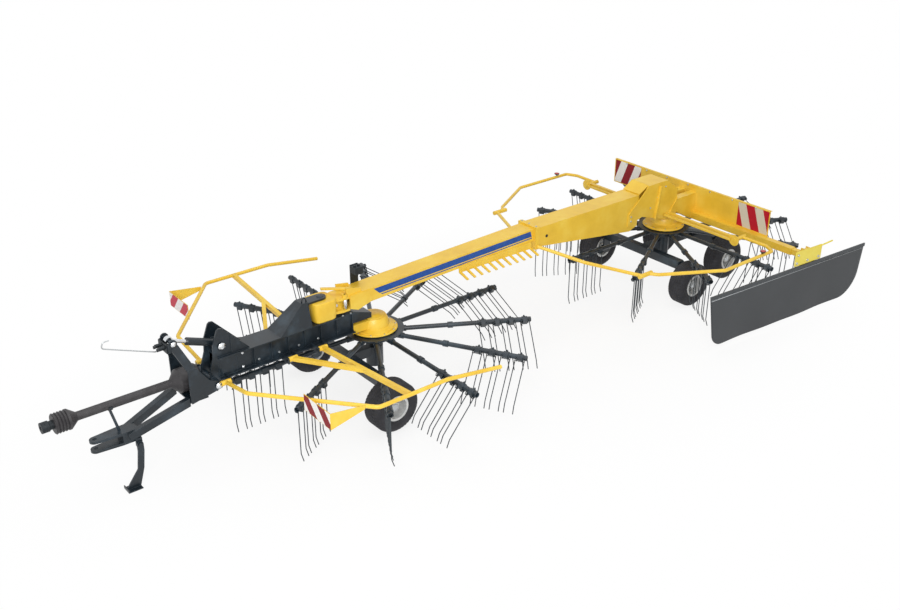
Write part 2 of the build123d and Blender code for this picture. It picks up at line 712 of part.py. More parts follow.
def clevis():
    """Two level plates ahead of the apex block, bored for the hitch pin, on a back plate, with the shaft's rest."""
    half = CLEVIS_GAP / 2
    tall = half + CLEVIS_PLATE
    back = CLEVIS_ROOT + CLEVIS_PLATE
    body = block(CLEVIS_ROOT, back, -CLEVIS_HALF, CLEVIS_HALF, APEX_Z - tall, APEX_Z + tall)
    plate = outline([(CLEVIS_ROOT, -CLEVIS_HALF), (back, -CLEVIS_HALF), (CLEVIS_HOLE_X, -CLEVIS_TIP_RADIUS),
                     (CLEVIS_HOLE_X, CLEVIS_TIP_RADIUS), (back, CLEVIS_HALF), (CLEVIS_ROOT, CLEVIS_HALF)])
    plate += Pos(CLEVIS_HOLE_X, 0) * Circle(CLEVIS_TIP_RADIUS)
    plate -= Pos(CLEVIS_HOLE_X, 0) * Circle(CLEVIS_HOLE_RADIUS)
    for bottom in (APEX_Z - tall, APEX_Z + half):
        body += level(plate, bottom, bottom + CLEVIS_PLATE)
    return body + shaft_holder()


def shaft_holder():
    """Leaning rod on the clevis with a half strap that the drive shaft lies in."""
    foot = spot(HOLDER_FOOT_X, APEX_Z + CLEVIS_GAP / 2 + CLEVIS_PLATE / 2)
    inner = GUARD_TUBE_RADIUS + SEAT
    outer = inner + HOLDER_STRAP_WALL
    head = spot(HOLDER_HEAD_X, SHAFT_Z - inner - HOLDER_STRAP_WALL / 2)
    half = HOLDER_STRAP / 2
    strap = ring((HOLDER_HEAD_X - half, 0, SHAFT_Z), (HOLDER_HEAD_X + half, 0, SHAFT_Z), outer, inner)
    strap -= block(HOLDER_HEAD_X - half, HOLDER_HEAD_X + half, -outer, outer, SHAFT_Z, SHAFT_Z + outer)
    return rod(foot, head, HOLDER_ROD_RADIUS) + strap


def stand_bracket():
    """Ear below the clevis block with the pin that the stand turns on."""
    top = APEX_Z - CLEVIS_GAP / 2 - CLEVIS_PLATE / 2
    inner = STAND_Y - STAND_WALL / 2 - SIDE_PLAY - STAND_WALL
    outer = inner + STAND_WALL
    half = STAND_BAR / 2
    ear = outline([(STAND_X - half, STAND_Z - half), (STAND_X + half, STAND_Z - half), (STAND_X + half, top + 20),
                   (STAND_X - half, top + 20)], 12)
    arm = block(STAND_X - half, STAND_X + half, CLEVIS_HALF - 10, outer, top, top + 20)
    end = STAND_Y + STAND_WALL / 2 + SIDE_PLAY
    pin = rod((STAND_X, inner, STAND_Z), (STAND_X, end, STAND_Z), STAND_PIN_RADIUS)
    head = rod((STAND_X, end, STAND_Z), (STAND_X, end + PIN_HEAD, STAND_Z), STAND_PIN_RADIUS * 1.7)
    return upright(ear, inner, outer) + arm + pin + head


def stand():
    """Leg of bent flat bar that flares to a foot plate with a turned-up lip."""
    low = STAND_Y - STAND_WALL / 2
    high = STAND_Y + STAND_WALL / 2
    half = STAND_BAR / 2
    knee = STAND_Z * 0.42
    toe = STAND_FOOT_X + STAND_FOOT_LENGTH / 2
    heel = STAND_FOOT_X - STAND_FOOT_LENGTH / 2
    face = outline([(STAND_X - half, STAND_Z), (STAND_X + half, STAND_Z), (STAND_X + half, STAND_Z - 60),
                    (STAND_X + half + 22, knee), (toe, STAND_FOOT_WALL), (heel, STAND_FOOT_WALL),
                    (STAND_X - half + 22, knee), (STAND_X - half, STAND_Z - 60)])
    leg = upright(face, low, high) + rod((STAND_X, low, STAND_Z), (STAND_X, high, STAND_Z), half)
    wide = STAND_FOOT_WIDTH / 2
    leg += block(heel, toe, STAND_Y - wide, STAND_Y + wide, 0, STAND_FOOT_WALL)
    leg += block(toe - STAND_FOOT_WALL, toe, STAND_Y - wide, STAND_Y + wide, 0, STAND_LIP)
    return leg - rod((STAND_X, low - 1, STAND_Z), (STAND_X, high + 1, STAND_Z), STAND_PIN_RADIUS + RUNNING)


def along_shaft(points):
    """Solid turned about the drive shaft from (place along X, radius) points."""
    first, last = points[0][0], points[-1][0]
    face = outline([(first, 0), *points, (last, 0)])
    turned = revolve(Plane(origin=(0, 0, SHAFT_Z), x_dir=(1, 0, 0), z_dir=(0, -1, 0)) * face,
                     Axis((0, 0, SHAFT_Z), (1, 0, 0)))
    return turned


def shaft_guard():
    """Guard of the drive shaft: shield cone at the headstock, tube, and ribbed bellows at the front."""
    front = SHAFT_FRONT - YOKE_LENGTH
    back = front - BELLOWS_LENGTH
    points = [(SHIELD_BACK, SHIELD_RADIUS * 0.9), (SHIELD_BACK + 12, SHIELD_RADIUS), (SHIELD_FRONT, SHIELD_RADIUS),
              (SHIELD_FRONT + SHIELD_CONE, GUARD_TUBE_RADIUS), (back - BELLOWS_CONE, GUARD_TUBE_RADIUS),
              (back, BELLOWS_RADIUS)]
    pitch = BELLOWS_LENGTH / BELLOWS_FOLDS
    for fold in range(BELLOWS_FOLDS):
        start = back + fold * pitch
        points.append((start + pitch * 0.7, BELLOWS_RADIUS))
        points.append((start + pitch * 0.85, BELLOWS_RADIUS - BELLOWS_FOLD_DEPTH))
    points.append((front, BELLOWS_RADIUS - BELLOWS_FOLD_DEPTH))
    return along_shaft(points)


def shaft_yoke():
    """Yoke at the front of the drive shaft, bored for the splined shaft it pushes onto."""
    back = SHAFT_FRONT - YOKE_LENGTH
    body = along_shaft([(back, YOKE_RADIUS * 0.82), (back + 30, YOKE_RADIUS * 0.82), (back + 34, YOKE_RADIUS),
                        (SHAFT_FRONT, YOKE_RADIUS)])
    return body - rod((back + YOKE_FLOOR, 0, SHAFT_Z), (SHAFT_FRONT + 1, 0, SHAFT_Z), YOKE_BORE)


def link_direction():
    """Direction of the height cylinder from the frame's pin to the headstock's top pin, and its length."""
    way = spot(TOP_PIN_X, TOP_PIN_Z) - spot(LINK_PIN_X, LINK_PIN_Z)
    return way.normalized(), way.length


def link_place(distance):
    """Place on the height cylinder's axis, measured from the frame's pin."""
    way, length = link_direction()
    return spot(LINK_PIN_X, LINK_PIN_Z) + way * distance


def cylinder_barrel():
    """Barrel of the height cylinder with its eye on the frame's pin and a bore for the rod."""
    half = LINK_EYE_WIDTH / 2
    body = rod(link_place(CYLINDER_START - 20), link_place(CYLINDER_END), CYLINDER_RADIUS)
    body += rod((LINK_PIN_X, -half, LINK_PIN_Z), (LINK_PIN_X, half, LINK_PIN_Z), LINK_EYE_RADIUS)
    body -= rod(link_place(CYLINDER_START + 30), link_place(CYLINDER_END + 1), ROD_RADIUS + RUNNING)
    return body - rod((LINK_PIN_X, -half - 1, LINK_PIN_Z), (LINK_PIN_X, half + 1, LINK_PIN_Z),
                      LINK_PIN_RADIUS + RUNNING)


def cylinder_rod():
    """Rod of the height cylinder with the eye round the headstock's top pin."""
    length = link_direction()[1]
    half = ROD_EYE_WIDTH / 2
    body = rod(link_place(ROD_START), link_place(length - ROD_EYE_BORE), ROD_RADIUS)
    body += rod((TOP_PIN_X, -half, TOP_PIN_Z), (TOP_PIN_X, half, TOP_PIN_Z), ROD_EYE_RADIUS)
    return body - rod((TOP_PIN_X, -half - 1, TOP_PIN_Z), (TOP_PIN_X, half + 1, TOP_PIN_Z), ROD_EYE_BORE)


def hose_rack():
    """Plate across the headstock's top with its row of hose couplers."""
    front = TOP_PIN_X + TOP_EAR_REACH
    low = TOP_PIN_Z - RACK_HEIGHT
    half = RACK_WIDTH / 2 + HEAD_WALL
    rack = block(front, front + RACK_WALL, -half, half, low, low + RACK_HEIGHT)
    pitch = RACK_WIDTH / COUPLER_COUNT
    for number in range(COUPLER_COUNT):
        y = (number - (COUPLER_COUNT - 1) / 2) * pitch
        z = low + RACK_HEIGHT * (0.35 + 0.35 * (number % 2))
        rack += rod((front + RACK_WALL, y, z), (front + RACK_WALL + COUPLER_LENGTH, y, z), COUPLER_RADIUS)
    return rack


def hook_rod():
    """Thin spring rod that holds the hoses up, from the coupler plate forward to a curled hook."""
    start = Vector(TOP_PIN_X + TOP_EAR_REACH + RACK_WALL, 0, TOP_PIN_Z - RACK_HEIGHT + HOOK_ROD_RADIUS * 2)
    root = start + Vector(HOOK_RADIUS * 2, 0, 0)
    end = start + Vector(HOOK_ROD_REACH, 0, HOOK_ROD_RISE)
    way = (end - root).normalized()
    up = Vector(-way.Z, 0, way.X)
    top = end + way * HOOK_RADIUS * 1.4 + up * HOOK_RADIUS * 1.6
    tail = end + up * HOOK_RADIUS * 2.2
    path = FilletPolyline(start, root, end + way * HOOK_RADIUS * 1.4, top, tail, radius=HOOK_RADIUS * 0.7)
    return sweep(Plane(origin=path @ 0, z_dir=path % 0) * Circle(HOOK_ROD_RADIUS), path=path)


def boom_bottom(x):
    """Height of the front boom's lower face at a place along it."""
    share = (BOOM_FRONT_X - x) / (BOOM_FRONT_X - BOOM_JOIN_X)
    return BOOM_FRONT_BOTTOM + share * (BOOM_JOIN_BOTTOM - BOOM_FRONT_BOTTOM)


def boom_pivot():
    """Pivot barrel with a neck of side plates that widens to the boom's front flange."""
    low = FRAME_TOP + SIDE_PLAY
    high = low + BARREL_HEIGHT
    body = rod((PIVOT_X, 0, low), (PIVOT_X, 0, high), BARREL_RADIUS)
    neck = outline([(PIVOT_X, -NECK_HALF * 1.5), (PIVOT_X, NECK_HALF * 1.5), (PIVOT_X - 140, NECK_HALF),
                    (BOOM_FRONT_X, BOOM_HALF), (BOOM_FRONT_X, -BOOM_HALF), (PIVOT_X - 140, -NECK_HALF)])
    body += level(neck, low + 10, high - 10)
    body += block(BOOM_FRONT_X, BOOM_FRONT_X + 16, -BOOM_HALF - 10, BOOM_HALF + 10, boom_bottom(BOOM_FRONT_X) - 20,
                  boom_bottom(BOOM_FRONT_X) + BOOM_DEPTH + 10)
    return body - rod((PIVOT_X, 0, low - 1), (PIVOT_X, 0, high + 1), PIVOT_PIN_RADIUS + RUNNING)


def boom_front():
    """Front boom: a square tube that rises gently to the rear."""
    low_front = boom_bottom(BOOM_FRONT_X)
    low_back = boom_bottom(BOOM_JOIN_X)
    side = outline([(BOOM_FRONT_X, low_front), (BOOM_FRONT_X, low_front + BOOM_DEPTH),
                    (BOOM_JOIN_X, low_back + BOOM_DEPTH), (BOOM_JOIN_X, low_back)])
    bar = upright(side, -BOOM_HALF, BOOM_HALF)
    wall = BOOM_WALL
    hollow = outline([(BOOM_FRONT_X, low_front + wall), (BOOM_FRONT_X, low_front + BOOM_DEPTH - wall),
                      (BOOM_JOIN_X, low_back + BOOM_DEPTH - wall), (BOOM_JOIN_X, low_back + wall)])
    return bar - upright(hollow, -BOOM_HALF + wall, BOOM_HALF - wall)


def boom_rear():
    """Rear boom: collar, then a box that deepens towards the rear rotor, open at its end."""
    start = BOOM_JOIN_X - COLLAR_LENGTH
    low = BOOM_JOIN_BOTTOM - 70
    top = BOOM_JOIN_BOTTOM + BOOM_DEPTH
    rise = COLLAR_WALL
    side = outline([(start, low), (start, top), (REAR_END_X, REAR_TOP), (REAR_END_X, REAR_END_BOTTOM),
                    (REAR_KNEE_X, REAR_KNEE_BOTTOM)])
    wall = BOOM_WALL
    hollow = outline([(start - wall, low + wall), (start - wall, top - wall), (REAR_END_X - 1, REAR_TOP - wall),
                      (REAR_END_X - 1, REAR_END_BOTTOM + wall), (REAR_KNEE_X, REAR_KNEE_BOTTOM + wall)])
    box = upright(side, -REAR_HALF, REAR_HALF) - upright(hollow, -REAR_HALF + wall, REAR_HALF - wall)
    return box + block(start, BOOM_JOIN_X, -REAR_HALF - rise, REAR_HALF + rise, low - rise, top + rise)


def comb():
    """Toothed rack below the boom's left side."""
    lip = BOOM_HALF + COMB_WALL
    low = COMB_TOP - COMB_DROP
    rack = block(COMB_END, COMB_START, BOOM_HALF, lip, low, COMB_TOP)
    pitch = (COMB_START - COMB_END - COMB_TOOTH) / (COMB_TEETH - 1)
    for number in range(COMB_TEETH):
        x = COMB_END + number * pitch
        tooth = outline([(BOOM_HALF, low), (BOOM_HALF + COMB_REACH, low - 34), (BOOM_HALF + COMB_REACH, low - 24),
                         (lip, low + 12)])
        rack += across(tooth, x, x + COMB_TOOTH)
    return rack


def valve_block():
    """Hydraulic valve block on a plate that is bolted to the boom's right side."""
    face = -BOOM_HALF
    low = boom_bottom(VALVE_X) + 20
    half = VALVE_SIZE / 2
    body = block(VALVE_X - half, VALVE_X + half, face - VALVE_PLATE, face, low, VALVE_TOP - 10)
    body += block(VALVE_X - half, VALVE_X + half, face, face + VALVE_SIZE, VALVE_TOP - 80, VALVE_TOP - 15)
    for step in (-1, 1):
        x = VALVE_X + step * half * 0.5
        body += rod((x, face + half, VALVE_TOP - 40), (x, face + half, VALVE_TOP), 12)
    return body


def rear_tower():
    """Two side plates that clasp the boom's end and stand on the rear cover, with plates across."""
    brow = REAR_END_X - TOWER_BROW
    crown = REAR_END_X - TOWER_CROWN
    crown_back = TOWER_FOOT_FRONT + TOWER_CROWN_BACK
    back_top = REAR_TOP - TOWER_BACK_DROP
    face = [(TOWER_FRONT, TOWER_NOSE_BOTTOM), (TOWER_FRONT, TOWER_NOSE_TOP), (brow, REAR_TOP), (crown, TOWER_TOP),
            (crown_back, TOWER_TOP), (TOWER_BACK, back_top), (TOWER_BACK, COVER_TOP), (TOWER_FOOT_FRONT, COVER_TOP),
            (brow, TOWER_CHIN)]
    body = Part()
    for side in (1, -1):
        low, high = sorted((side * REAR_HALF, side * (REAR_HALF + TOWER_WALL)))
        body += upright(outline(face), low, high)
    wall = TOWER_WALL
    body += block(TOWER_BACK, TOWER_FOOT_FRONT, -REAR_HALF, REAR_HALF, COVER_TOP, COVER_TOP + wall)
    body += block(TOWER_BACK, TOWER_BACK + wall, -REAR_HALF, REAR_HALF, COVER_TOP, back_top)
    body += block(crown_back, crown, -REAR_HALF, REAR_HALF, TOWER_TOP - wall, TOWER_TOP)
    return body


def rear_carrier():
    """Two boxes behind the tower and the hollow cross beam below the panel."""
    body = Part()
    half = CROSS_SIZE / 2
    for side in (1, -1):
        low, high = sorted((side * (CARRIER_Y - CARRIER_HALF), side * (CARRIER_Y + CARRIER_HALF)))
        edge = outline([(TOWER_BACK, CARRIER_TOP), (TOWER_BACK, CARRIER_BOTTOM), (PANEL_X + 80, CROSS_Z - half),
                        (PANEL_X, CROSS_Z - half), (PANEL_X, CARRIER_TOP)])
        body += upright(edge, low, high)
    beam = block(CROSS_X - half, CROSS_X + half, CROSS_RIGHT, CROSS_LEFT, CROSS_Z - half, CROSS_Z + half)
    body += beam
    hole = half - CROSS_WALL
    return body - block(CROSS_X - hole, CROSS_X + hole, CROSS_RIGHT - 1, CROSS_LEFT + 1, CROSS_Z - hole,
                        CROSS_Z + hole)


def warning_panel():
    """Long upright board across the rear with a flange along its top edge."""
    low = PANEL_TOP - PANEL_HEIGHT
    board = block(PANEL_X - PANEL_WALL, PANEL_X, -PANEL_HALF, PANEL_HALF, low, PANEL_TOP)
    return board + block(PANEL_X - PANEL_FLANGE, PANEL_X, -PANEL_HALF, PANEL_HALF, PANEL_TOP - PANEL_WALL, PANEL_TOP)


def rear_guard_arms():
    """Fixed part of the rear guards: arms beside the tower with leaf plates, and tubes from the collar."""
    pieces = []
    wall = REAR_HALF + TOWER_WALL
    lift = GUARD_Z
    collar = REAR_HALF + COLLAR_WALL
    root = BOOM_JOIN_X - COLLAR_LENGTH / 2
    for side in (1, -1):
        arm = member((REAR_ARM_X, side * wall, lift), (REAR_ARM_X, side * REAR_FOLD_Y, lift),
                     Rectangle(GUARD_ARM, GUARD_ARM))
        half = GUARD_BUSH_LENGTH / 2
        arm += rod((REAR_ARM_X - half, side * REAR_FOLD_Y, lift), (REAR_ARM_X + half, side * REAR_FOLD_Y, lift),
                   GUARD_BUSH_RADIUS)
        end = REAR_ARM_X - half - SIDE_PLAY - GUARD_BUSH_LENGTH - SIDE_PLAY
        arm += rod((REAR_ARM_X, side * REAR_FOLD_Y, lift), (end, side * REAR_FOLD_Y, lift), GUARD_PIN_RADIUS)
        pieces.append(arm)
        knee_x, knee_y, knee_z = REAR_TUBE_KNEE
        points = [(root, side * collar, REAR_TUBE_START_Z),
                  (root - REAR_TUBE_STEP, side * (collar + REAR_TUBE_STEP), REAR_TUBE_STEP_Z),
                  (knee_x, side * knee_y, knee_z), (REAR_CLAMP_X + REAR_CLAMP_LEAD, side * REAR_FOLD_Y, lift)]
        tube = bent_tube(points, GUARD_RADIUS, GUARD_BEND)
        tube -= block(BOOM_JOIN_X - REAR_TRIM, BOOM_JOIN_X + REAR_TRIM, -collar, collar, lift, REAR_TOP)
        tube += rod((REAR_CLAMP_X, side * REAR_FOLD_Y, lift), (REAR_CLAMP_X + GUARD_BUSH_LENGTH, side * REAR_FOLD_Y,
                    lift), GUARD_BUSH_RADIUS)
        end = REAR_CLAMP_X - SIDE_PLAY - GUARD_BUSH_LENGTH - SIDE_PLAY
        tube += rod((REAR_CLAMP_X, side * REAR_FOLD_Y, lift), (end, side * REAR_FOLD_Y, lift), GUARD_PIN_RADIUS)
        pieces.append(tube)
    return pieces


def rear_guard():
    """Left rear guard: the outer loop between two bushes on the fold axis."""
    lift = GUARD_Z
    front = REAR_CLAMP_X - SIDE_PLAY - GUARD_BUSH_LENGTH / 2
    back = REAR_ARM_X - GUARD_BUSH_LENGTH - SIDE_PLAY
    half = GUARD_BUSH_LENGTH / 2
    lead_x, lead_y = REAR_LOOP_LEAD
    corner_x, corner_y = REAR_LOOP_CORNER
    points = [(front, REAR_FOLD_Y, lift), (front - lead_x, REAR_FOLD_Y + lead_y, lift),
              (REAR_LOOP_SHOULDER_X, REAR_GUARD_Y, lift), (back + corner_x, REAR_GUARD_Y, lift),
              (back, REAR_GUARD_Y - corner_y, lift), (back, REAR_FOLD_Y, lift)]
    loop = bent_tube(points, GUARD_RADIUS, REAR_LOOP_BEND)
    for x in (front, back):
        loop += rod((x - half, REAR_FOLD_Y, lift), (x + half, REAR_FOLD_Y, lift), GUARD_BUSH_RADIUS)
    return loop - rod((back - 200, REAR_FOLD_Y, lift), (front + 200, REAR_FOLD_Y, lift), GUARD_PIN_RADIUS + RUNNING)


def front_guard():
    """Left front guard: bent tube with two arms and three bushes on the frame's pins."""
    hinge_y, hinge_z = GUARD_HINGE_Y, GUARD_HINGE_Z
    points = [(GUARD_NOSE_X, hinge_y, hinge_z), (GUARD_NOSE_X + GUARD_NOSE_LEAD, GUARD_KNEE_Y, GUARD_Z),
              (GUARD_CORNER_X, GUARD_Y, GUARD_Z), (GUARD_BREAK_X, GUARD_Y, GUARD_Z),
              (GUARD_TAIL_X, GUARD_Y, GUARD_Z - GUARD_TAIL_DROP)]
    guard = bent_tube(points, GUARD_RADIUS, GUARD_BEND)
    first, last = GUARD_ARM_X
    tip = (GUARD_TIP_X, GUARD_Y - GUARD_RADIUS * 0.5, GUARD_Z)
    profile = Rectangle(GUARD_ARM, GUARD_ARM)
    guard += member((first, hinge_y, hinge_z), tip, profile)
    middle = (GUARD_BRACE_X, GUARD_BRACE_Y, (hinge_z + GUARD_Z) / 2)
    guard += member((last, hinge_y, hinge_z), middle, profile)
    half = GUARD_BUSH_LENGTH / 2
    for x in (first, last, GUARD_NOSE_X):
        guard += rod((x - half, hinge_y, hinge_z), (x + half, hinge_y, hinge_z), GUARD_BUSH_RADIUS)
    for x in (first, last, GUARD_NOSE_X):
        guard -= rod((x - half - 60, hinge_y, hinge_z), (x + half + 60, hinge_y, hinge_z),
                     GUARD_PIN_RADIUS + RUNNING)
    return guard


def guard_edge(y):
    """Place along X where the front face of the front guard's slanting tube is, at a place across."""
    way = Vector(GUARD_CORNER_X - GUARD_NOSE_X - GUARD_NOSE_LEAD, GUARD_Y - GUARD_KNEE_Y, 0)
    middle = GUARD_NOSE_X + GUARD_NOSE_LEAD + way.X * (y - GUARD_KNEE_Y) / way.Y
    return middle + (GUARD_RADIUS + SEAT) * way.length / way.Y


def sign():
    """Left warning sign: upright board ahead of the guard tube and a tapered plate back to its corner."""
    low = SIGN_TOP - SIGN_HEIGHT
    front = guard_edge(SIGN_IN)
    back = guard_edge(SIGN_OUT - SIGN_WALL)
    board = block(front, front + SIGN_WALL, SIGN_IN, SIGN_OUT, low, SIGN_TOP)
    plate = outline([(front, low), (front, SIGN_TOP), (back, GUARD_Z + GUARD_RADIUS), (back, GUARD_Z - GUARD_RADIUS)])
    return board + upright(plate, SIGN_OUT - SIGN_WALL, SIGN_OUT)


def curtain_plane():
    """Plane of the curtain: origin on the fold axis, X forward along the sheet, Y up, Z towards the machine."""
    forward = Vector(1, 0, 0).rotate(Axis.Z, -CURTAIN_YAW)
    hinge = (CROSS_X, SLIDE_OUT + CURTAIN_BUSH_RADIUS + CURTAIN_HINGE_GAP, CROSS_Z + CURTAIN_HINGE_RISE)
    return Plane(origin=hinge, x_dir=forward, z_dir=forward.cross(Vector(0, 0, 1)))


def curtain_arm():
    """Square bar that slides in the cross beam, with a head plate, two lugs and the curtain's hinge pin."""
    half = CROSS_SIZE / 2 - CROSS_WALL - SLIDE_CLEAR
    body = block(CROSS_X - half, CROSS_X + half, SLIDE_IN, SLIDE_OUT, CROSS_Z - half, CROSS_Z + half)
    ear = CURTAIN_BUSH_LENGTH / 2 + SIDE_PLAY
    wide = ear + LUG_WALL
    top = CROSS_Z + CURTAIN_HINGE_RISE
    body += block(CROSS_X - wide, CROSS_X + wide, SLIDE_OUT - LUG_WALL, SLIDE_OUT, CROSS_Z - half, top)
    plane = curtain_plane()
    reach = CURTAIN_BUSH_RADIUS + CURTAIN_HINGE_GAP + LUG_WALL / 2
    lug = Rectangle(LUG_WALL, 2 * CURTAIN_BUSH_RADIUS)
    for side in (1, -1):
        middle = side * (ear + LUG_WALL / 2)
        start = plane.from_local_coords((middle, 0, reach))
        end = plane.from_local_coords((middle, 0, -CURTAIN_LUG_END))
        body += member(start, end, lug)
    pin = [plane.from_local_coords((side * (ear + LUG_WALL), 0, 0)) for side in (-1, 1)]
    return body + rod(pin[0], pin[1], CURTAIN_HINGE_RADIUS)


def on_curtain(face, z_low, z_high):
    """Plate in the curtain's plane: a face of its own (x, y) points between two distances inwards."""
    return extrude(curtain_plane().offset(z_low) * face, z_high - z_low)


def curtain_holder():
    """Plate that hangs from a bush on the arm's hinge pin and carries the curtain."""
    plane = curtain_plane()
    ends = [plane.from_local_coords((side * CURTAIN_BUSH_LENGTH / 2, 0, 0)) for side in (-1, 1)]
    bush = rod(ends[0], ends[1], CURTAIN_BUSH_RADIUS)
    half = HOLDER_PLATE_LENGTH / 2
    top = -CURTAIN_BUSH_RADIUS - CURTAIN_HINGE_GAP
    low = top - HOLDER_PLATE_HEIGHT
    neck = CURTAIN_BUSH_LENGTH / 2 - SIDE_PLAY
    face = outline([(-half, low), (half, low), (half, top), (neck, top), (neck, 0), (-neck, 0), (-neck, top),
                    (-half, top)])
    bush += on_curtain(face, -CURTAIN_BUSH_RADIUS - HOLDER_PLATE_WALL, -CURTAIN_BUSH_RADIUS + CURTAIN_HINGE_GAP)
    return bush - rod(ends[0] * 2 - ends[1], ends[1] * 2 - ends[0], CURTAIN_HINGE_RADIUS + RUNNING)


def curtain_sheet():
    """Hanging sheet with a small round at its front lower corner and a large one at its rear lower corner."""
    hinge = CROSS_Z + CURTAIN_HINGE_RISE
    top = CURTAIN_TOP - hinge
    low = CURTAIN_BOTTOM - hinge
    face = outline([(CURTAIN_FRONT, top), (CURTAIN_FRONT, low), (CURTAIN_BACK_SLANT - CURTAIN_BACK, low),
                    (-CURTAIN_BACK, top)])
    corners = face.vertices().group_by(Axis.Y)[0].sort_by(Axis.X)
    face = fillet(corners[1], CURTAIN_FRONT_ROUND)
    corner = face.vertices().group_by(Axis.Y)[0].sort_by(Axis.X)[0]
    face = fillet(corner, CURTAIN_BACK_ROUND)
    near = -CURTAIN_BUSH_RADIUS - HOLDER_PLATE_WALL
    return on_curtain(face, near - CURTAIN_WALL, near)


def curtain_rail():
    """Strip that clamps the sheet's top edge from outside."""
    top = CURTAIN_TOP - CROSS_Z - CURTAIN_HINGE_RISE
    face = outline([(CURTAIN_FRONT, top - RAIL_DEPTH), (CURTAIN_FRONT, top), (-CURTAIN_BACK, top),
                    (-CURTAIN_BACK, top - RAIL_DEPTH)])
    near = -CURTAIN_BUSH_RADIUS - HOLDER_PLATE_WALL - CURTAIN_WALL
    return on_curtain(face, near - RAIL_WALL, near)


def wheels():
    """Tyre and rim of each wheel by name, at its place."""
    places = {"front": (FRONT_WHEEL_X, FRONT_WHEEL_Y)}
    for name, (x, y) in zip(("bogie_front", "bogie_back"), REAR_WHEELS):
        places[name] = (REAR_ROTOR_X + x, y)
    casing = tyre()
    left_rim = rim()
    right_rim = mirror(left_rim, about=Plane.XZ)
    nodes = {}
    for name, (x, y) in places.items():
        for side, turn, disc in (("left", 1, left_rim), ("right", -1, right_rim)):
            place = Pos(x, turn * y, WHEEL_Z)
            nodes[f"{name}_{side}_tyre"] = place * casing
            nodes[f"{name}_{side}_rim"] = place * disc
    return nodes


def build():
    """Every node by name, in machine coordinates."""
    nodes = {
        "front_frame": front_frame(),
        "front_gear_cover": front_cover(),
        "front_axle": front_axle(),
        "headstock": headstock(),
        "drawbar": drawbar(),
        "hitch_clevis": clevis(),
        "drive_shaft_guard": shaft_guard(),
        "drive_shaft_yoke": shaft_yoke(),
        "hose_couplers": hose_rack(),
        "hose_hook_rod": hook_rod(),
        "stand": stand(),
        "height_cylinder_barrel": cylinder_barrel(),
        "height_cylinder_rod": cylinder_rod(),
        "boom_pivot_head": boom_pivot(),
        "boom_front": boom_front(),
        "boom_rear": boom_rear(),
        "boom_comb": comb(),
        "boom_valve_block": valve_block(),
        "rear_tower": rear_tower(),
        "rear_gear_cover": Pos(REAR_ROTOR_X, 0, 0) * gear_cover(REAR_FLANGE_RADIUS),
        "rear_mast": rear_mast(),
        "rear_carrier": rear_carrier(),
        "warning_panel": warning_panel(),
        "rear_guard_arms": Compound(rear_guard_arms()),
        "rear_bogie": rear_bogie(),
        "curtain_arm": curtain_arm(),
        "curtain_holder": curtain_holder(),
        "curtain_sheet": curtain_sheet(),
        "curtain_rail": curtain_rail(),
    }
    hub = rotor_hub()
    arms = Compound(around(rotor_arm()))
    bars = Compound(tine_bars())
    for name, x in (("front", 0), ("rear", REAR_ROTOR_X)):
        nodes[f"{name}_rotor_hub"] = Pos(x, 0, 0) * hub
        nodes[f"{name}_rotor_arms"] = Pos(x, 0, 0) * arms
        nodes[f"{name}_tine_bars"] = Pos(x, 0, 0) * bars
    for name, shape in (("front_guard", front_guard()), ("rear_guard", rear_guard()), ("sign", sign())):
        nodes[f"{name}_left"], nodes[f"{name}_right"] = both(shape)
    nodes.update(wheels())
    return nodes


def centring(nodes):
    """Move that puts the ground below the middle of the whole machine at the origin."""
    box = Compound(list(nodes.values())).bounding_box()
    middle = box.center()
    return Pos(-middle.X, -middle.Y, -box.min.Z)


if __name__ == "__main__":
    os.makedirs("parts", exist_ok=True)
    machine = build()
    move = centring(machine)
    for name, shape in machine.items():
        export_step(move * shape, f"parts/{name}.step")
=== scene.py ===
"""Twin rotor hay rake: finishes, tread, tines, foils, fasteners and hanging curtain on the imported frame."""
import json

import bpy
import numpy as np
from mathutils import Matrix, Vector


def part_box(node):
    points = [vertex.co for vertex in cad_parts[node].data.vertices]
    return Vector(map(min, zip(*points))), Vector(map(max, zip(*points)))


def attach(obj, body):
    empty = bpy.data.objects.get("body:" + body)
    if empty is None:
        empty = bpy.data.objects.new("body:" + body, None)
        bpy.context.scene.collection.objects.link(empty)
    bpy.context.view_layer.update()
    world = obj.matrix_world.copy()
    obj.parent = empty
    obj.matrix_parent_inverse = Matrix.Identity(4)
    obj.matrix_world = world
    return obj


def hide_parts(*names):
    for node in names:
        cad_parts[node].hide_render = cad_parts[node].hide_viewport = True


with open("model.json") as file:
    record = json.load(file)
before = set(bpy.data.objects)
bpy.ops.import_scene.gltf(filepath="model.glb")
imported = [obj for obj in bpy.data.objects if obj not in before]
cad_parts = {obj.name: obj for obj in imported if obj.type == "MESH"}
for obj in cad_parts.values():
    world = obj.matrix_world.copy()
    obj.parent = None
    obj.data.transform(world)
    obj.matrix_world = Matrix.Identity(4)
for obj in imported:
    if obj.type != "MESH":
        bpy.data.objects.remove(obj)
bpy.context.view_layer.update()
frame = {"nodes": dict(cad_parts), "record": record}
joints = {joint["name"]: joint for joint in frame["record"]["behaviour"]["joints"]}
ROTOR_AXIS = np.array(joints["front_rotor_spin"]["pos_m"])
# Left and right, as signs of a place across the machine
SIDES = (1, -1)
# Sides of a bolt head or nut
HEXAGON = 6
# Colour sockets of a Mix node: its two inputs and its result
MIX_FIRST, MIX_SECOND, MIX_RESULT = 6, 7, 2


def at(x, y, z):
    """Row frame place, in metres, of a place in millimetres from the front rotor's axis and the ground."""
    return np.array([x / 1000 + ROTOR_AXIS[0], y / 1000 + ROTOR_AXIS[1], z / 1000])


def places(points):
    """Row frame places of a list of places in millimetres from the front rotor's axis and the ground."""
    return np.array([at(*point) for point in points])


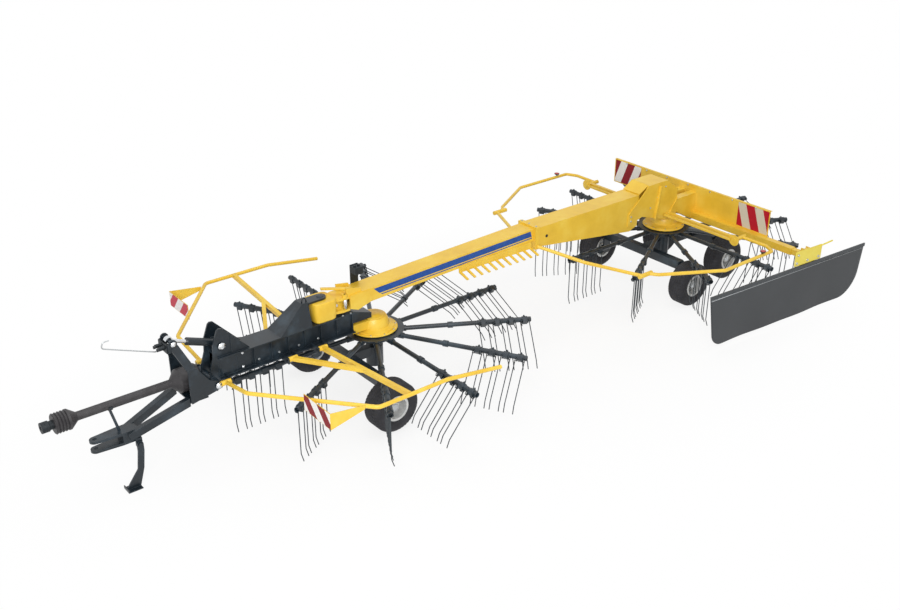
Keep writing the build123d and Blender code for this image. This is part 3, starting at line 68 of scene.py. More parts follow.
def linear(colour):
    """Linear colour of an sRGB hex value: each channel through the sRGB curve."""
    srgb = np.array([int(colour[i:i + 2], 16) for i in (1, 3, 5)]) / 255
    return (*np.where(srgb <= 0.04045, srgb / 12.92, ((srgb + 0.055) / 1.055) ** 2.4), 1.0)


def add(tree, kind, inputs=None, **settings):
    """Adds a node: settings go on the node, inputs on its sockets, and a socket given as input is linked."""
    node = tree.nodes.new(kind)
    for key, value in settings.items():
        setattr(node, key, value)
    for key, value in (inputs or {}).items():
        if isinstance(value, bpy.types.NodeSocket):
            tree.links.new(value, node.inputs[key])
        else:
            node.inputs[key].default_value = value
    return node


def surface_material(name, **constants):
    """New material with a principled shader: constants go on the shader's own sockets."""
    made = bpy.data.materials.new(name)
    made.use_nodes = True
    made.node_tree.nodes.clear()
    shader = add(made.node_tree, "ShaderNodeBsdfPrincipled", constants)
    add(made.node_tree, "ShaderNodeOutputMaterial", {"Surface": shader.outputs[0]})
    return made, made.node_tree, shader


def ramp(tree, factor, stops):
    """Colour ramp over a factor, from (place, hex colour) stops."""
    node = add(tree, "ShaderNodeValToRGB", {"Fac": factor})
    while len(node.color_ramp.elements) < len(stops):
        node.color_ramp.elements.new(0.5)
    for element, (place, colour) in zip(node.color_ramp.elements, stops):
        element.position = place
        element.color = linear(colour)
    return node.outputs["Color"]


def sprayed_paint(name, deep, plain, light, roughness, coat):
    """Sprayed two-pack paint on welded steel: even colour, faint drifts, orange peel and a painted highlight
    along the edges.
    """
    made, tree, shader = surface_material(name, **{"Coat Weight": coat, "Coat Roughness": 0.12})
    place = add(tree, "ShaderNodeTexCoord").outputs["Object"]
    # Drifts about 250 mm wide from uneven spraying and dust
    drift = add(tree, "ShaderNodeTexNoise", {"Vector": place, "Scale": 4.0, "Detail": 4.0, "Roughness": 0.6})
    colour = ramp(tree, drift.outputs["Fac"], [(0.25, deep), (0.5, plain), (0.8, light)])
    # Painted highlight about 4 mm wide along the edges, where a rounded normal departs from the flat one
    rounded = add(tree, "ShaderNodeBevel", {"Radius": 0.004}, samples=4)
    flat = add(tree, "ShaderNodeNewGeometry")
    cosine = add(tree, "ShaderNodeVectorMath", {0: rounded.outputs[0], 1: flat.outputs["Normal"]},
                 operation="DOT_PRODUCT")
    edge = add(tree, "ShaderNodeMapRange", {"Value": cosine.outputs["Value"], "From Min": 0.98,
                                            "From Max": 0.8, "To Max": 0.45})
    # Painted highlight: the colour at the edges is mixed up to 0.45 of the way towards the light tone
    edge_highlighted = add(tree, "ShaderNodeMix", {"Factor": edge.outputs[0], MIX_FIRST: colour,
                                       MIX_SECOND: linear(light)}, data_type="RGBA")
    tree.links.new(edge_highlighted.outputs[MIX_RESULT], shader.inputs["Base Color"])
    # Orange peel, drawn at 6 mm so that it shows
    peel = add(tree, "ShaderNodeTexNoise", {"Vector": place, "Scale": 160.0, "Detail": 2.0})
    gloss = add(tree, "ShaderNodeMapRange", {"Value": drift.outputs["Fac"], "To Min": roughness - 0.06,
                                             "To Max": roughness + 0.1})
    tree.links.new(gloss.outputs[0], shader.inputs["Roughness"])
    bump = add(tree, "ShaderNodeBump", {"Strength": 0.06, "Distance": 0.001, "Height": peel.outputs["Fac"],
                                        "Normal": rounded.outputs[0]})
    tree.links.new(bump.outputs[0], shader.inputs["Normal"])
    return made


def tyre_rubber():
    """Moulded tyre rubber: near black and dull, with paler dust in patches and a fine moulding grain."""
    made, tree, shader = surface_material("moulded_tyre_rubber", **{"Specular IOR Level": 0.35})
    place = add(tree, "ShaderNodeTexCoord").outputs["Object"]
    # Dust in patches about 110 mm wide
    dust = add(tree, "ShaderNodeTexNoise", {"Vector": place, "Scale": 9.0, "Detail": 6.0, "Roughness": 0.65})
    colour = ramp(tree, dust.outputs["Fac"], [(0.3, "#242427"), (0.55, "#323236"), (0.8, "#434348")])
    tree.links.new(colour, shader.inputs["Base Color"])
    rough = add(tree, "ShaderNodeMapRange", {"Value": dust.outputs["Fac"], "To Min": 0.62, "To Max": 0.85})
    tree.links.new(rough.outputs[0], shader.inputs["Roughness"])
    # Moulding grain about 2.4 mm wide
    grain = add(tree, "ShaderNodeTexNoise", {"Vector": place, "Scale": 420.0, "Detail": 2.0})
    bump = add(tree, "ShaderNodeBump", {"Strength": 0.12, "Distance": 0.001, "Height": grain.outputs["Fac"]})
    tree.links.new(bump.outputs[0], shader.inputs["Normal"])
    return made


def plain_metal(name, deep, light, metallic, roughness, grit):
    """Metal with a fine mottle, light where rubbed: grit counts the spots in a metre."""
    made, tree, shader = surface_material(name, **{"Metallic": metallic})
    place = add(tree, "ShaderNodeTexCoord").outputs["Object"]
    spots = add(tree, "ShaderNodeTexNoise", {"Vector": place, "Scale": grit, "Detail": 5.0,
                                             "Roughness": 0.7})
    colour = ramp(tree, spots.outputs["Fac"], [(0.3, deep), (0.7, light)])
    tree.links.new(colour, shader.inputs["Base Color"])
    rough = add(tree, "ShaderNodeMapRange", {"Value": spots.outputs["Fac"], "To Min": roughness - 0.08,
                                             "To Max": roughness + 0.12})
    tree.links.new(rough.outputs[0], shader.inputs["Roughness"])
    bump = add(tree, "ShaderNodeBump", {"Strength": 0.05, "Distance": 0.001, "Height": spots.outputs["Fac"]})
    tree.links.new(bump.outputs[0], shader.inputs["Normal"])
    return made


def moulded_plastic(name, deep, light, roughness):
    """Blow-moulded polyethylene: dull, with a fine pebble and scuffed lighter patches."""
    made, tree, shader = surface_material(name, **{"IOR": 1.51})
    place = add(tree, "ShaderNodeTexCoord").outputs["Object"]
    # Scuffs about 70 mm wide
    scuff = add(tree, "ShaderNodeTexNoise", {"Vector": place, "Scale": 14.0, "Detail": 6.0,
                                             "Roughness": 0.7})
    colour = ramp(tree, scuff.outputs["Fac"], [(0.35, deep), (0.75, light)])
    tree.links.new(colour, shader.inputs["Base Color"])
    rough = add(tree, "ShaderNodeMapRange", {"Value": scuff.outputs["Fac"], "To Min": roughness - 0.08,
                                             "To Max": roughness + 0.1})
    tree.links.new(rough.outputs[0], shader.inputs["Roughness"])
    # Pebble about 2 mm across
    pebble = add(tree, "ShaderNodeTexVoronoi", {"Vector": place, "Scale": 480.0})
    bump = add(tree, "ShaderNodeBump", {"Strength": 0.1, "Distance": 0.0006,
                                        "Height": pebble.outputs["Distance"]})
    tree.links.new(bump.outputs[0], shader.inputs["Normal"])
    return made


def coated_cloth():
    """PVC-coated polyester cloth: dark grey with a satin face and a faint weave."""
    made, tree, shader = surface_material("coated_polyester_cloth", **{"Sheen Weight": 0.05, "IOR": 1.45})
    place = add(tree, "ShaderNodeTexCoord").outputs["Object"]
    # Clouds of dust about 330 mm wide
    cloud = add(tree, "ShaderNodeTexNoise", {"Vector": place, "Scale": 3.0, "Detail": 5.0,
                                             "Roughness": 0.55})
    colour = ramp(tree, cloud.outputs["Fac"], [(0.3, "#303336"), (0.55, "#36393C"), (0.8, "#3E4144")])
    tree.links.new(colour, shader.inputs["Base Color"])
    rough = add(tree, "ShaderNodeMapRange", {"Value": cloud.outputs["Fac"], "To Min": 0.42, "To Max": 0.6})
    tree.links.new(rough.outputs[0], shader.inputs["Roughness"])
    # Threads drawn at 6 mm so that they show
    warp = add(tree, "ShaderNodeTexWave", {"Vector": place, "Scale": 55.0}, bands_direction="X")
    weft = add(tree, "ShaderNodeTexWave", {"Vector": place, "Scale": 55.0}, bands_direction="Z")
    weave = add(tree, "ShaderNodeMath", {0: warp.outputs["Fac"], 1: weft.outputs["Fac"]},
                operation="MULTIPLY")
    bump = add(tree, "ShaderNodeBump", {"Strength": 0.1, "Distance": 0.0005, "Height": weave.outputs[0]})
    tree.links.new(bump.outputs[0], shader.inputs["Normal"])
    return made


def striped_foil(name, red, white, across, pitch, offset):
    """Retroreflective foil: red bands on white along one slant, over a honeycomb of cells."""
    made, tree, shader = surface_material(name, **{"Roughness": 0.5, "Specular IOR Level": 0.25})
    place = add(tree, "ShaderNodeTexCoord").outputs["Object"]
    along = add(tree, "ShaderNodeVectorMath", {0: place, 1: across}, operation="DOT_PRODUCT")
    turns = add(tree, "ShaderNodeMath", {0: along.outputs["Value"], 1: 1 / pitch, 2: offset},
                operation="MULTIPLY_ADD")
    share = add(tree, "ShaderNodeMath", {0: turns.outputs[0]}, operation="FRACT")
    band = add(tree, "ShaderNodeMath", {0: share.outputs[0], 1: 0.5}, operation="GREATER_THAN")
    # Cells about 8 mm across
    cells = add(tree, "ShaderNodeTexVoronoi", {"Vector": place, "Scale": 120.0}, feature="DISTANCE_TO_EDGE")
    tint = add(tree, "ShaderNodeMapRange", {"Value": cells.outputs["Distance"], "From Max": 0.12,
                                            "To Min": 0.9, "To Max": 1.0})
    colour = add(tree, "ShaderNodeMix", {"Factor": band.outputs[0], MIX_FIRST: linear(white),
                                         MIX_SECOND: linear(red)}, data_type="RGBA")
    tinted = add(tree, "ShaderNodeVectorMath", {0: colour.outputs[MIX_RESULT], 3: tint.outputs[0]},
                 operation="SCALE")
    tree.links.new(tinted.outputs[0], shader.inputs["Base Color"])
    return made


def printed_foil(name, deep, light):
    """Printed vinyl foil: an even glossy colour with slight lifting waves about 60 mm long."""
    made, tree, shader = surface_material(name, **{"Roughness": 0.42, "Specular IOR Level": 0.3})
    place = add(tree, "ShaderNodeTexCoord").outputs["Object"]
    wave = add(tree, "ShaderNodeTexNoise", {"Vector": place, "Scale": 16.0, "Detail": 3.0})
    colour = ramp(tree, wave.outputs["Fac"], [(0.3, deep), (0.7, light)])
    tree.links.new(colour, shader.inputs["Base Color"])
    bump = add(tree, "ShaderNodeBump", {"Strength": 0.05, "Distance": 0.002, "Height": wave.outputs["Fac"]})
    tree.links.new(bump.outputs[0], shader.inputs["Normal"])
    return made


def lens_acrylic():
    """Red reflector lens of moulded acrylic: small prisms about 5 mm across behind a glossy face."""
    made, tree, shader = surface_material("red_lens_acrylic", **{"Roughness": 0.12, "IOR": 1.49,
                                                                 "Coat Weight": 0.6})
    place = add(tree, "ShaderNodeTexCoord").outputs["Object"]
    prism = add(tree, "ShaderNodeTexVoronoi", {"Vector": place, "Scale": 200.0})
    colour = ramp(tree, prism.outputs["Distance"], [(0.1, "#D52A22"), (0.8, "#A3120F")])
    tree.links.new(colour, shader.inputs["Base Color"])
    return made


YELLOW = sprayed_paint("yellow_two_pack_paint", "#E0B430", "#ECC23A", "#F4D458", 0.42, 0.15)
BLACK = sprayed_paint("blue_black_paint", "#0B141A", "#111C24", "#3A4954", 0.4, 0.15)
LEMON = sprayed_paint("lemon_two_pack_paint", "#EBD23F", "#F1DC4C", "#F6E66A", 0.42, 0.15)
RUBBER = tyre_rubber()
RIM_PAINT = plain_metal("silver_rim_paint", "#B9BBBC", "#DCDCDA", 0.25, 0.4, 30.0)
CHROME = plain_metal("hard_chrome", "#CFD3D6", "#E8EAEC", 1.0, 0.16, 60.0)
ZINC = plain_metal("zinc_plated_steel", "#A9ADAF", "#CDD0D1", 1.0, 0.32, 90.0)
DARK_STEEL = plain_metal("phosphated_steel", "#14191D", "#2A3034", 0.4, 0.5, 60.0)
SPRING_STEEL = plain_metal("painted_spring_steel", "#252B2F", "#444B50", 0.3, 0.42, 50.0)
SHAFT_PLASTIC = moulded_plastic("black_polyethylene", "#262426", "#3F3D3F", 0.5)
CLOTH = coated_cloth()
RAIL = plain_metal("anodised_grey_aluminium", "#3E4144", "#4C5053", 0.5, 0.42, 40.0)
BEAD = plain_metal("mill_aluminium", "#9A9EA1", "#BABDBF", 0.8, 0.4, 40.0)
BLUE = printed_foil("blue_vinyl_foil", "#18468F", "#24549F")
LENS = lens_acrylic()

FINISHES = {"yellow_paint": YELLOW, "black_paint": BLACK, "board_paint": YELLOW, "dark_steel": DARK_STEEL,
            "bright_steel": ZINC, "chrome_rod": CHROME, "spring_steel": SPRING_STEEL,
            "guard_plastic": SHAFT_PLASTIC, "tyre_rubber": RUBBER, "rim_paint": RIM_PAINT,
            "curtain_cloth": CLOTH, "rail_aluminium": RAIL}
for part in frame["record"]["subparts"]:
    mesh = frame["nodes"][part["node"]].data
    mesh.materials.clear()
    mesh.materials.append(FINISHES[part["material_slot"]])


def piece(name, shape, material, body, smooth=True, replaces=()):
    """Mesh piece from a shape's arrays of points and faces, which rides on a body and takes a finish."""
    points, faces = shape
    mesh = bpy.data.meshes.new(name)
    mesh.from_pydata(np.asarray(points, float).tolist(), [], [list(map(int, face)) for face in faces])
    mesh.validate()
    mesh.polygons.foreach_set("use_smooth", np.full(len(mesh.polygons), smooth))
    mesh.materials.append(material)
    made = bpy.data.objects.new(name, mesh)
    bpy.context.scene.collection.objects.link(made)
    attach(made, body)
    if replaces:
        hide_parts(*replaces)
    return made


def full_turn(count):
    """Angles evenly round a full turn."""
    return np.arange(count) * 2 * np.pi / count


def grid_faces(rows, columns, wrap_rows=False, wrap_columns=False):
    """Quads between neighbours of a grid of points, numbered row by row, closed where a side wraps."""
    row = np.arange(rows if wrap_rows else rows - 1)
    column = np.arange(columns if wrap_columns else columns - 1)
    i, j = np.meshgrid(row, column, indexing="ij")
    below, right = (i + 1) % rows, (j + 1) % columns
    corners = [i * columns + j, i * columns + right, below * columns + right, below * columns + j]
    return np.stack(corners, -1).reshape(-1, 4)


def closed_skin(rings):
    """Skin over a stack of closed rings of points, each joined to the next, with a face over both ends."""
    rows, sides = rings.shape[:2]
    last = (rows - 1) * sides
    faces = grid_faces(rows, sides, wrap_columns=True).tolist()
    faces += [list(range(sides - 1, -1, -1)), list(range(last, last + sides))]
    return rings.reshape(-1, 3), faces


def gather(shapes):
    """One array of points and one list of faces from several shapes, each numbered after the last."""
    points, faces, start = [], [], 0
    for shape_points, shape_faces in shapes:
        points.append(shape_points)
        faces.extend((np.asarray(face) + start).tolist() for face in shape_faces)
        start += len(shape_points)
    return np.concatenate(points), faces


def carried_wire(path, radius, sides=6):
    """Round wire: a regular polygon carried along a path of points, square to its run, with closed ends."""
    path = np.asarray(path, float)
    run = np.gradient(path, axis=0)
    run /= np.linalg.norm(run, axis=1, keepdims=True)
    guide = np.where(np.abs(run[:, 2:3]) > 0.9, [[1.0, 0, 0]], [[0, 0, 1.0]])
    first = np.cross(run, guide)
    first /= np.linalg.norm(first, axis=1, keepdims=True)
    second = np.cross(run, first)
    turn = full_turn(sides)
    ring = first[:, None] * np.cos(turn)[None, :, None] + second[:, None] * np.sin(turn)[None, :, None]
    return closed_skin(path[:, None] + radius * ring)


def turned(profile, centre, axis, sides=24):
    """Turned shape: (along, radius) points in millimetres spun about an axis, with closed ends."""
    along, radius = np.asarray(profile, float).T / 1000
    axis = np.asarray(axis, float) / np.linalg.norm(axis)
    first = np.cross(axis, [1.0, 0, 0] if abs(axis[2]) > 0.9 else [0, 0, 1.0])
    first /= np.linalg.norm(first)
    second = np.cross(axis, first)
    turn = full_turn(sides)
    ring = first * np.cos(turn)[:, None] + second * np.sin(turn)[:, None]
    return closed_skin(np.asarray(centre) + along[:, None, None] * axis + radius[:, None, None] * ring)


def slab(corners, offset):
    """Flat plate: an outline of places carried straight along an offset, closed and facing outwards."""
    corners = np.asarray(corners, float)
    offset = np.asarray(offset, float)
    after = np.roll(corners, -1, axis=0)
    if np.cross(corners - corners[0], after - corners[0]).sum(0) @ offset < 0:
        corners = corners[::-1]
    return closed_skin(np.stack([corners, corners + offset]))


def level_plate(outline, level, wall):
    """Level plate from an (x, y) outline, carried up from a level by its wall."""
    return slab(places([(x, y, level) for x, y in outline]), (0, 0, wall / 1000))


def upright_plate(outline, y_from, y_to):
    """Upright plate from an (x, z) outline, carried across the machine between two places."""
    return slab(places([(x, y_from, z) for x, z in outline]), (0, (y_to - y_from) / 1000, 0))


def bar_block(x, y, z):
    """Straight block between pairs of limits along each axis: its foot rectangle carried up."""
    foot = [(x[0], y[0]), (x[1], y[0]), (x[1], y[1]), (x[0], y[1])]
    return level_plate(foot, z[0], z[1] - z[0])


def bowed(first, middle, last, count):
    """Points on the parabola from the first point to the last that passes the middle one half way."""
    share = np.linspace(0, 1, count)[:, None]
    first, middle, last = map(np.asarray, (first, middle, last))
    pull = 2 * middle - (first + last) / 2
    return (1 - share) ** 2 * first + 2 * share * (1 - share) * pull + share ** 2 * last


# Tyres: the section as places across and radii, in millimetres
CROWN = (63.0, 228.5)
SHOULDER_MIDDLE = (76.5, 223.5)
SHOULDER = (86.0, 212.5)
WALL = (106.0, 167.0)
WALL_FOOT = (83.7, 121.6)
TYRE_BEAD = (83.7, 101.9)
TREAD_STEPS, SHOULDER_STEPS, WALL_STEPS = 27, 9, 14
TREAD_DEPTH, TREAD_BLOCKS, BLOCK_STEPS = 7.0, 44, 6
GROOVES = np.array([-40.0, -14.0, 14.0, 40.0])
GROOVE_HALF, GROOVE_SLOPE, GROOVE_WANDER, GROOVE_LIMIT = 3.2, 1.4, 2.6, 50.0
SLOT_START, SLOT_SLOPE, SLOT_LOWEST, SLOT_SINE = 44.0, 3.0, 205.0, 0.9
# Rings moulded on the walls, as radius, height and width, and where the walls start
WALL_RINGS = ((186.0, 1.6, 4.0), (140.0, 1.3, 3.0))
WALL_START = 83.0


def tyre_casing(centre):
    """Tyre: a section carried round the axle. Four grooves wander along the tread by a sine, slots cut its
    edges, and rings stand on its walls as bell curves of the radius."""
    tread = np.stack([np.linspace(0, CROWN[0], TREAD_STEPS), np.full(TREAD_STEPS, CROWN[1])], -1)
    half = np.concatenate([tread, bowed(CROWN, SHOULDER_MIDDLE, SHOULDER, SHOULDER_STEPS)[1:],
                           bowed(SHOULDER, WALL, WALL_FOOT, WALL_STEPS)[1:], [TYRE_BEAD]])
    section = np.concatenate([half[:0:-1] * [-1, 1], half])
    turn = full_turn(TREAD_BLOCKS * BLOCK_STEPS)
    across, radius = section[:, 0][None, :], section[:, 1][None, :]
    wave = np.sin(TREAD_BLOCKS * turn / 2)
    groove = np.abs(across[..., None] - GROOVES - GROOVE_WANDER * wave[:, None, None]).min(-1)
    depth = np.clip((GROOVE_HALF + GROOVE_SLOPE - groove) / GROOVE_SLOPE, 0, 1)
    depth = depth * (np.abs(across) < GROOVE_LIMIT)
    slot = np.clip((np.abs(across) - SLOT_START) / SLOT_SLOPE, 0, 1) * (radius > SLOT_LOWEST)
    slot = slot * (np.abs(wave)[:, None] > SLOT_SINE)
    rings = sum(height * np.exp(-((radius - middle) / width) ** 2) for middle, height, width in WALL_RINGS)
    side = across + np.sign(across) * rings * (np.abs(across) > WALL_START)
    radius = radius - np.maximum(depth, slot) * TREAD_DEPTH
    points = np.stack([radius * np.cos(turn)[:, None], np.broadcast_to(side, radius.shape),
                       radius * np.sin(turn)[:, None]], -1) / 1000
    return centre + points.reshape(-1, 3), grid_faces(len(turn), len(section), True, True)


# Wheel fittings: (along, radius) profiles in millimetres, and places in metres from the wheel's middle
NUT_PROFILE = ((0, 15), (3, 15), (3, 11.5), (15, 11.5), (17, 9), (17, 7), (24, 7))
NUTS, NUT_CIRCLE, NUT_SEAT, NUT_TURN = 5, 0.066, 0.014, 0.3
HUB_CAP_SHARES = np.array([0, 0.25, 0.5, 0.75, 0.95])
HUB_CAP_RISE, HUB_CAP_RADIUS, HUB_CAP_SEAT = 12.0, 33.0, 0.062
VALVE_FOOT = np.array([0.03, 0, 0.083])
VALVE_LEAN = np.array([0.006, 0, 0.01])
VALVE_BEND, VALVE_LENGTH, VALVE_RADIUS = 0.03, 0.045, 0.005


def wheel_fittings(centre, side):
    """Wheel nuts on studs, a hub cap spun from a quarter ellipse, and the air valve, outside a rim."""
    out = np.array([0, side, 0.0])
    shapes = []
    for turn in full_turn(NUTS) + NUT_TURN:
        place = centre + np.array([np.cos(turn), 0, np.sin(turn)]) * NUT_CIRCLE + out * NUT_SEAT
        shapes.append(turned(NUT_PROFILE, place, out, HEXAGON))
    rise = HUB_CAP_SHARES * np.pi / 2
    dome = np.stack([HUB_CAP_RISE * np.sin(rise), HUB_CAP_RADIUS * np.cos(rise)], -1)
    shapes.append(turned(dome, centre + out * HUB_CAP_SEAT, out))
    foot = centre + VALVE_FOOT
    tip = foot + out * VALVE_LENGTH + VALVE_LEAN
    shapes.append(carried_wire([foot, foot + out * VALVE_BEND, tip], VALVE_RADIUS, sides=8))
    return gather(shapes)


for name in ("front_left", "front_right", "bogie_front_left", "bogie_front_right", "bogie_back_left",
             "bogie_back_right"):
    low, high = map(np.array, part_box(name + "_tyre"))
    middle = (low + high) / 2
    side = 1 if name.endswith("left") else -1
    piece(name + "_treaded_tyre", tyre_casing(middle), RUBBER, name + "_wheel", replaces=(name + "_tyre",))
    piece(name + "_wheel_fittings", wheel_fittings(middle, side), ZINC, name + "_wheel", smooth=False)


# Tine bars: millimetres along a bar from its inner end, as it lies on the arm that points forward
BAR_LENGTH, BAR_START = 493.0, 940.0
BAR_RADIUS, BAR_BORE, BORE_DEPTH = 24.0, 18.0, 60.0
HOLDERS, HOLDER_PITCH, HOLDER_LENGTH, HOLDER_END = 4, 128.0, 50.0, 17.0
TINE_HALF = 41.0
HOLDER_MIDDLES = BAR_LENGTH - HOLDER_END - TINE_HALF - HOLDER_PITCH * np.arange(HOLDERS)
SADDLE_RADIUS, SADDLE_FOOT, SADDLE_LIP = 30.0, 34.0, 0.35
CLAMP_BOLT = ((28, 11), (37, 11), (37, 6), (44, 6))
# Tilt that the cam gives each arm's bar at rest, from the arm that points forward
CAM_TILT = np.radians([0, 0, 0, 40, 42, 55, 62, 60, 60, 10, 10, 0])
ARMS = len(CAM_TILT)
COIL_TURNS, COIL_RADIUS, COIL_LENGTH, COIL_DROP, COIL_STEPS = 2, 17.0, 26.0, 26.0, 13
TINE_RADIUS, TINE_KNEE, TINE_DROP, TIP_REACH = 4.5, 423.0, 490.0, 21.6


def tine_wire(distance, hand):
    """Spring tine: two turns of coil beside its clamp, then straight down, with the tip bent forward."""
    turn = np.linspace(0, COIL_TURNS * 2 * np.pi, COIL_STEPS)
    coil = np.stack([distance - hand * (COIL_LENGTH - COIL_LENGTH * turn / turn[-1]),
                     COIL_RADIUS * (np.cos(turn) - 1), COIL_RADIUS * np.sin(turn) - COIL_DROP], -1)
    leg = [[distance, 0, -TINE_KNEE / 2], [distance, 0, -TINE_KNEE], [distance, TIP_REACH, -TINE_DROP]]
    return carried_wire(np.concatenate([coil, leg]) / 1000, TINE_RADIUS / 1000, sides=5)


def tine_holder(middle):
    """Clamp: a round saddle over the bar with a flat foot, its section carried along the bar, and a bolt."""
    turn = np.linspace(-SADDLE_LIP, np.pi + SADDLE_LIP, 8)
    saddle = SADDLE_RADIUS * np.stack([np.cos(turn), np.sin(turn)], -1)
    section = np.concatenate([saddle, [[-SADDLE_RADIUS, -SADDLE_FOOT], [SADDLE_RADIUS, -SADDLE_FOOT]]])
    start = np.full((len(section), 1), middle - HOLDER_LENGTH / 2)
    clamp = slab(np.concatenate([start, section], -1) / 1000, (HOLDER_LENGTH / 1000, 0, 0))
    bolt = turned(CLAMP_BOLT, [middle / 1000, 0, 0], [0, 0, 1], HEXAGON)
    return gather([clamp, bolt])


def on_arms(shape, hub):
    """A copy of a bar's shape on each arm: tilted about the bar by the cam, then turned about the hub."""
    points, faces = shape
    turn = full_turn(ARMS)
    zero, one = np.zeros(ARMS), np.ones(ARMS)
    tilt = np.array([[one, zero, zero], [zero, np.cos(CAM_TILT), np.sin(CAM_TILT)],
                     [zero, -np.sin(CAM_TILT), np.cos(CAM_TILT)]])
    swing = np.array([[np.cos(turn), -np.sin(turn), zero], [np.sin(turn), np.cos(turn), zero],
                      [zero, zero, one]])
    laid = np.einsum("ija,nj->ani", tilt, points) + [BAR_START / 1000, 0, 0]
    laid = np.einsum("ija,anj->ani", swing, laid) + hub
    return gather([(copy, faces) for copy in laid])


bar_tube = turned([(0, BAR_RADIUS), (BAR_LENGTH, BAR_RADIUS), (BAR_LENGTH, BAR_BORE),
                   (BAR_LENGTH - BORE_DEPTH, BAR_BORE)], [0, 0, 0], [1, 0, 0], sides=12)
bar_fittings = gather([bar_tube] + [tine_holder(middle) for middle in HOLDER_MIDDLES])
bar_tines = gather([tine_wire(middle + hand * TINE_HALF, hand)
                    for middle in HOLDER_MIDDLES for hand in (-1, 1)])
for name in ("front", "rear"):
    hub = np.array(joints[name + "_rotor_spin"]["pos_m"])
    piece(name + "_spring_tines", on_arms(bar_tines, hub), SPRING_STEEL, name + "_rotor",
          replaces=(name + "_tine_bars",))
    piece(name + "_bar_clamps", on_arms(bar_fittings, hub), BLACK, name + "_rotor", smooth=False)


# Warning foils, in metres: bands lean to the middle at the top, with one share of a pitch at a foil's middle
FOIL_SKIN = 0.0012
PANEL_FOIL, PANEL_MARGIN, PANEL_PITCH, PANEL_LEAN, PANEL_SHARE = 0.40, 0.012, 0.2, np.radians(20), 0.75
SIGN_MARGIN, SIGN_PITCH, SIGN_LEAN, SIGN_SHARE = 0.004, 0.165, np.radians(40), 0.25
# Red and white of each foil, which differ from foil to foil; the left panel foil's white is darkened to beige
# as painted shade
PANEL_COLOURS_WITH_SHADE = {"left": ("#B8152B", "#D6CDBB"), "right": ("#8E1B26", "#F2F0EC")}
SIGN_COLOURS = {"left": ("#87141F", "#F4F2EE"), "right": ("#C8364A", "#F6F2F0")}


def foil_plate(name, low, high, body, side, lean, pitch, middle_share, colours):
    """Foil on a board's front: a rectangle whose bands have one share of their pitch at its middle."""
    across = np.array([0, np.cos(lean), side * np.sin(lean)])
    centre = (np.asarray(low) + np.asarray(high)) / 2
    foil = striped_foil(name + "_retroreflective_foil", *colours, tuple(across), pitch,
                        middle_share - across @ centre / pitch)
    x = high[0]
    outline = [(x, low[1], low[2]), (x, high[1], low[2]), (x, high[1], high[2]), (x, low[1], high[2])]
    piece(name + "_foil", slab(outline, (FOIL_SKIN, 0, 0)), foil, body, smooth=False)


low, high = map(np.array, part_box("warning_panel"))
for name, side in (("left", 1), ("right", -1)):
    outer = high[1] if side > 0 else low[1]
    edges = sorted((outer - side * PANEL_MARGIN, outer - side * PANEL_FOIL))
    foil_plate("panel_" + name, (high[0], edges[0], low[2] + PANEL_MARGIN),
               (high[0], edges[1], high[2] - PANEL_MARGIN), "boom", side, PANEL_LEAN, PANEL_PITCH,
               PANEL_SHARE, PANEL_COLOURS_WITH_SHADE[name])
for name, side in (("left", 1), ("right", -1)):
    low, high = map(np.array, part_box("sign_" + name))
    foil_plate("sign_" + name, (high[0], low[1] + SIGN_MARGIN, low[2] + SIGN_MARGIN),
               (high[0], high[1] - SIGN_MARGIN, high[2] - SIGN_MARGIN), "front_guard_" + name, side,
               SIGN_LEAN, SIGN_PITCH, SIGN_SHARE, SIGN_COLOURS[name])

# Boom stripe: bands as low and high share of the tube's depth, then their starts and ends along x
BOOM_SIDE, BOOM_DEPTH = 95.0, 126.0
BOOM_FRONT, BOOM_BACK = (300.0, 920.0), (-1830.0, 986.0)
STRIPE_BANDS = ((0.40, 0.86, (-9, 49), (-1806, -1788)), (0.24, 0.31, (-35, -25), (-1812, -1809)))


def boom_band(low_share, high_share, starts, ends):
    """Foil with slanted ends between two shares of the boom's depth, along the slope of its underside."""
    slope = (BOOM_BACK[1] - BOOM_FRONT[1]) / (BOOM_BACK[0] - BOOM_FRONT[0])
    outline = [(starts[0], low_share), (starts[1], high_share), (ends[1], high_share), (ends[0], low_share)]
    corners = [(x, BOOM_SIDE, BOOM_FRONT[1] + slope * (x - BOOM_FRONT[0]) + share * BOOM_DEPTH)
               for x, share in outline]
    return slab(places(corners), (0, FOIL_SKIN, 0))


piece("boom_side_stripe", gather([boom_band(*band) for band in STRIPE_BANDS]), BLUE, "boom", smooth=False)

# Curtain: lengths in millimetres along the sheet from its hinge, and heights
SHEET_FRONT, SHEET_BACK, SHEET_TOP, SHEET_LOW = 1398.0, -907.0, 622.0, 62.0
FRONT_SLANT, BACK_SLANT, FRONT_ROUND, BACK_ROUND = 100.0, 60.0, 125.0, 250.0
SHEET_ROWS, SHEET_COLUMNS, ROW_POWER = 40, 90, 1.6
# Slack waves: height, length scale and start, and the power by which they grow down the sheet
LONG_WAVE, LONG_SCALE, LONG_START = 5.0, 210.0, 0.6
SHORT_WAVE, SHORT_SCALE, SHORT_LEAN = 3.0, 95.0, 1.5
SLACK_POWER = 1.4
SHEET_HINGE = at(-4193, 1579, 0)
SHEET_YAW = np.radians(4.2)
SHEET_RUN = np.array([np.cos(SHEET_YAW), -np.sin(SHEET_YAW), 0])
SHEET_FACE = np.array([np.sin(SHEET_YAW), np.cos(SHEET_YAW), 0])
# Cloth and beads out from the hinge, in metres, and the beads' drops and end gaps in millimetres
SHEET_OUT, CLOTH_WALL = 0.038, 0.004
BEAD_OUT, BEAD_RADIUS = 0.004, 0.0032
BEAD_DROPS, BEAD_BACK_GAP, BEAD_FRONT_GAP = (36.0, 50.0), 12.0, 8.0


